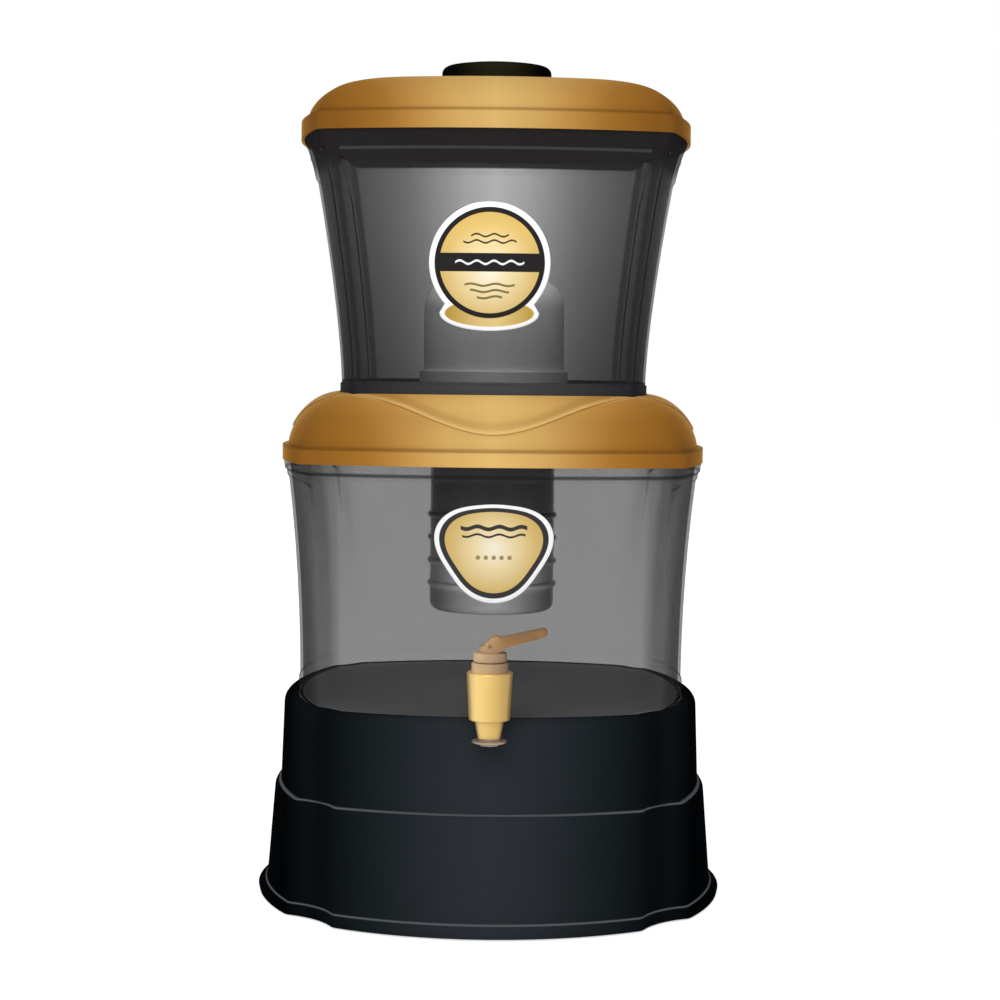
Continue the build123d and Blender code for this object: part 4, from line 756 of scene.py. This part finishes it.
def badge_print():
    """Print of the badge: white border, gold foot, black ring, gold foil, dark band, waves."""
    finish = Finish("badge_print", Roughness=0.3, Specular_IOR_Level=0.1)
    u, v = finish.flat("flat")
    white = finish.ramp(
        finish.noise(90, detail=2), [(0.3, (0.93, 0.93, 0.93)), (0.7, (0.96, 0.96, 0.96))])
    beside = finish.calc("DIVIDE", u, BADGE_FOOT_GOLD[0])
    below = finish.calc("DIVIDE", finish.calc("ADD", v, BADGE_FOOT_DROP), BADGE_FOOT_GOLD[1])
    foot_gold = finish.ramp(finish.across(beside, width=2), [
        (0.05, (0.46, 0.30, 0.05)),
        (0.4, (0.72, 0.52, 0.20)),
        (0.6, (0.74, 0.56, 0.22)),
        (0.95, (0.50, 0.33, 0.06)),
    ])
    past_foot = finish.step(finish.distance(beside, below), edge=0.985, soft=0.03)
    around = finish.mix(past_foot, foot_gold, white)
    gold = foil(finish, u, v, reach=0.040, pale_at=-0.006)
    for height, reach in BADGE_HIGH_WAVES:
        line = wave(finish, u, v, height, reach, length=0.0113, rise=0.0009, thick=0.0005)
        gold = finish.paint(gold, line, (0.05, 0.035, 0.015))
    for height, reach in BADGE_LOW_WAVES:
        line = wave(finish, u, v, height, reach, length=0.016, rise=0.0007, thick=0.0006)
        gold = finish.paint(gold, line, (0.20, 0.16, 0.05))
    gold = finish.paint(gold, finish.band(v, BADGE_BAND_V, BADGE_BAND_HALF, PRINT_SOFT), INK)
    line = wave(finish, u, v, BADGE_BAND_V, 0.022, length=0.011, rise=0.0011, thick=0.0006)
    gold = finish.paint(gold, line, (0.85, 0.85, 0.85))
    away = finish.distance(u, v)
    disc = finish.paint(gold, finish.step(away, BADGE_GOLD, PRINT_SOFT), INK)
    tone = finish.mix(finish.step(away, BADGE_BLACK, PRINT_SOFT), disc, around)
    finish.bump(finish.noise(800, detail=2), depth=0.00001)
    return finish.set(Base_Color=tone)


def shield_print():
    """Print of the shield: white border, black ring, gold foil, two waves and a row of dots.

    The remainder of u over the pitch puts each dot in the middle of a cell of its own.
    """
    finish = Finish("shield_print", Roughness=0.3, Specular_IOR_Level=0.3)
    u, v = finish.flat("flat")
    share, _ = finish.flat("rings")
    tone = foil(finish, u, v, reach=0.036, pale_at=-0.002)
    for height, reach, thick in SHIELD_WAVES:
        line = wave(finish, u, v, height, reach, length=0.014, rise=0.0009, thick=thick)
        tone = finish.paint(tone, line, (0.018, 0.014, 0.010))
    row_half = DOTS * DOT_PITCH / 2
    from_start = finish.calc("ADD", u, row_half + DOT_CELLS_ASIDE * DOT_PITCH)
    in_cell = finish.calc(
        "SUBTRACT", finish.calc("MODULO", from_start, DOT_PITCH), DOT_PITCH / 2)
    away = finish.distance(in_cell, finish.calc("SUBTRACT", v, DOTS_V))
    dot = finish.band(away, 0.0, DOT_RADIUS, PRINT_SOFT)
    dots = finish.calc("MULTIPLY", dot, finish.band(u, 0.0, row_half, soft=0.0001))
    tone = finish.paint(tone, dots, (0.30, 0.24, 0.10))
    tone = finish.paint(tone, finish.step(share, SHIELD_BLACK, soft=0.006), INK)
    tone = finish.paint(tone, finish.step(share, SHIELD_WHITE, soft=0.006), (0.95, 0.95, 0.95))
    finish.bump(finish.noise(800, detail=2), depth=0.00001)
    return finish.set(Base_Color=tone)


badge = sticker("badge_sticker", badge_outline, upper_front, badge_print())
shield = sticker("shield_sticker", shield_outline, lower_front, shield_print())
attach(badge, "upper_tank")
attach(shield, "lower_tank")


# ---------------------------------------------------------------- spring of the tap
SPRING_TURNS = 5
SPRING_WIRE = 0.0005  # radius of the wire
TURN_STEPS = 48
WIRE_STEPS = 12


def return_spring(low, high, material):
    """Coil of round wire between two corners of a box, with a flat cap on each end.

    The wire's middle runs along a helix: at share t of its length it is at angle
    2 pi turns t and at height foot + rise t. Around it lies a circle of the wire's
    radius, in the plane of the helix's normal and binormal.
    """
    low, high = np.array(low), np.array(high)
    middle = (low + high) / 2
    radius = (high[0] - low[0]) / 2 - SPRING_WIRE
    foot, rise = low[2] + SPRING_WIRE, high[2] - low[2] - 2 * SPRING_WIRE
    steps = SPRING_TURNS * TURN_STEPS
    share, around = np.meshgrid(
        np.linspace(0, 1, steps + 1), np.arange(WIRE_STEPS) * 2 * pi / WIRE_STEPS, indexing="ij")
    turn = 2 * pi * SPRING_TURNS * share
    slope = rise / (2 * pi * SPRING_TURNS)
    normal = np.stack([-np.cos(turn), -np.sin(turn), np.zeros_like(turn)], axis=-1)
    binormal = np.stack(
        [slope * np.sin(turn), -slope * np.cos(turn), np.full_like(turn, radius)], axis=-1)
    binormal /= np.hypot(radius, slope)
    axis = np.stack(
        [np.full_like(turn, middle[0]), np.full_like(turn, middle[1]), foot + rise * share], axis=-1)
    outwards = np.cos(around)[..., None] * normal + np.sin(around)[..., None] * binormal
    points = (axis - radius * normal + SPRING_WIRE * outwards).reshape(-1, 3)
    start, following = wrapped_grid(steps, WIRE_STEPS)
    quads = np.stack([start, following, following + WIRE_STEPS, start + WIRE_STEPS], axis=-1)
    quads = quads.reshape(-1, 4).tolist()
    first_cap = list(reversed(range(WIRE_STEPS)))
    last_cap = [steps * WIRE_STEPS + spoke for spoke in range(WIRE_STEPS)]
    piece = add_mesh("return_spring", points.tolist(), quads + [first_cap, last_cap], material)
    piece.data.polygons.foreach_set("use_smooth", [True] * len(quads) + [False, False])
    return piece


spring_low, spring_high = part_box("tap_spring")
spring = return_spring(spring_low, spring_high, finishes["steel"])
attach(spring, "tap_valve")
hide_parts("tap_spring")
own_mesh(spring)


# ---------------------------------------------------------------- floor and world
FLOOR_HALF = 6.0


def seen_white(material, strength, lit):
    """Strength to the camera and in gloss and glass, and lit for every other ray."""
    nodes, links = material.node_tree.nodes, material.node_tree.links
    path = nodes.new("ShaderNodeLightPath")
    seen = path.outputs["Is Camera Ray"]
    for ray in ("Is Glossy Ray", "Is Transmission Ray"):
        either = nodes.new("ShaderNodeMath")
        either.operation = "MAXIMUM"
        links.new(seen, either.inputs[0])
        links.new(path.outputs[ray], either.inputs[1])
        seen = either.outputs[0]
    level = nodes.new("ShaderNodeMapRange")
    level.inputs["To Min"].default_value = lit
    level.inputs["To Max"].default_value = strength
    links.new(seen, level.inputs["Value"])
    return level.outputs[0]


world = bpy.data.worlds.new("studio")
world.use_nodes = True
bpy.context.scene.world = world
background = world.node_tree.nodes["Background"]
background.inputs["Color"].default_value = (1, 1, 1, 1)
world.node_tree.links.new(
    seen_white(world, strength=1.0, lit=0.62), background.inputs["Strength"])

floor_finish = Finish("floor_white", Roughness=1.0, Specular_IOR_Level=0.0)
floor_finish.set(
    Base_Color=(0.86, 0.86, 0.86),
    Emission_Color=(1.0, 1.0, 1.0),
    Emission_Strength=seen_white(floor_finish.material, strength=0.6, lit=0.0),
)
floor_corners = [
    (x_side * FLOOR_HALF, y_side * FLOOR_HALF, 0.0)
    for x_side, y_side in ((-1, -1), (1, -1), (1, 1), (-1, 1))]
floor = add_mesh("floor", floor_corners, [(0, 1, 2, 3)], floor_finish.material)


# ---------------------------------------------------------------- lamps and camera
def soft_lamp(name, place, aim, size, power):
    """Square area lamp at place that shines towards aim."""
    lamp = bpy.data.lights.new(name, "AREA")
    lamp.size = size
    lamp.energy = power
    holder = add_object(name, lamp)
    holder.location = place
    holder.rotation_euler = (Vector(aim) - Vector(place)).to_track_quat("-Z", "Y").to_euler()
    return holder


soft_lamp("front_lamp", place=(-0.3, -2.2, 1.5), aim=(0, 0, 0.3), size=1.6, power=26)
inner_lamps = [
    soft_lamp("dome_lamp", place=(0, -0.06, 0.49), aim=(0, -0.01, 0.38), size=0.17, power=0.09),
    soft_lamp("cartridge_lamp", place=(0, -0.10, 0.18), aim=(0, 0, 0.22), size=0.06, power=0.037),
]
for lamp in inner_lamps:
    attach(lamp, "upper_tank")
    lamp.data.spread = radians(110)
    lamp.visible_camera = False
    lamp.visible_glossy = False

CAMERA_PLACE = (0.0042, -1.55, 0.3673)
CAMERA_DIP = 1.9  # degrees below level
CAMERA_ROLL = -0.62
camera_data = bpy.data.cameras.new("camera")
camera_data.sensor_width = 36.0
camera_data.lens = 80.75
camera_data.shift_y = -0.0712
camera_data.clip_end = 50.0
camera = add_object("camera", camera_data)
camera.location = CAMERA_PLACE
camera.rotation_euler = (radians(90 - CAMERA_DIP), radians(CAMERA_ROLL), 0)
bpy.context.scene.camera = camera

bpy.context.scene.view_settings.view_transform = "Standard"
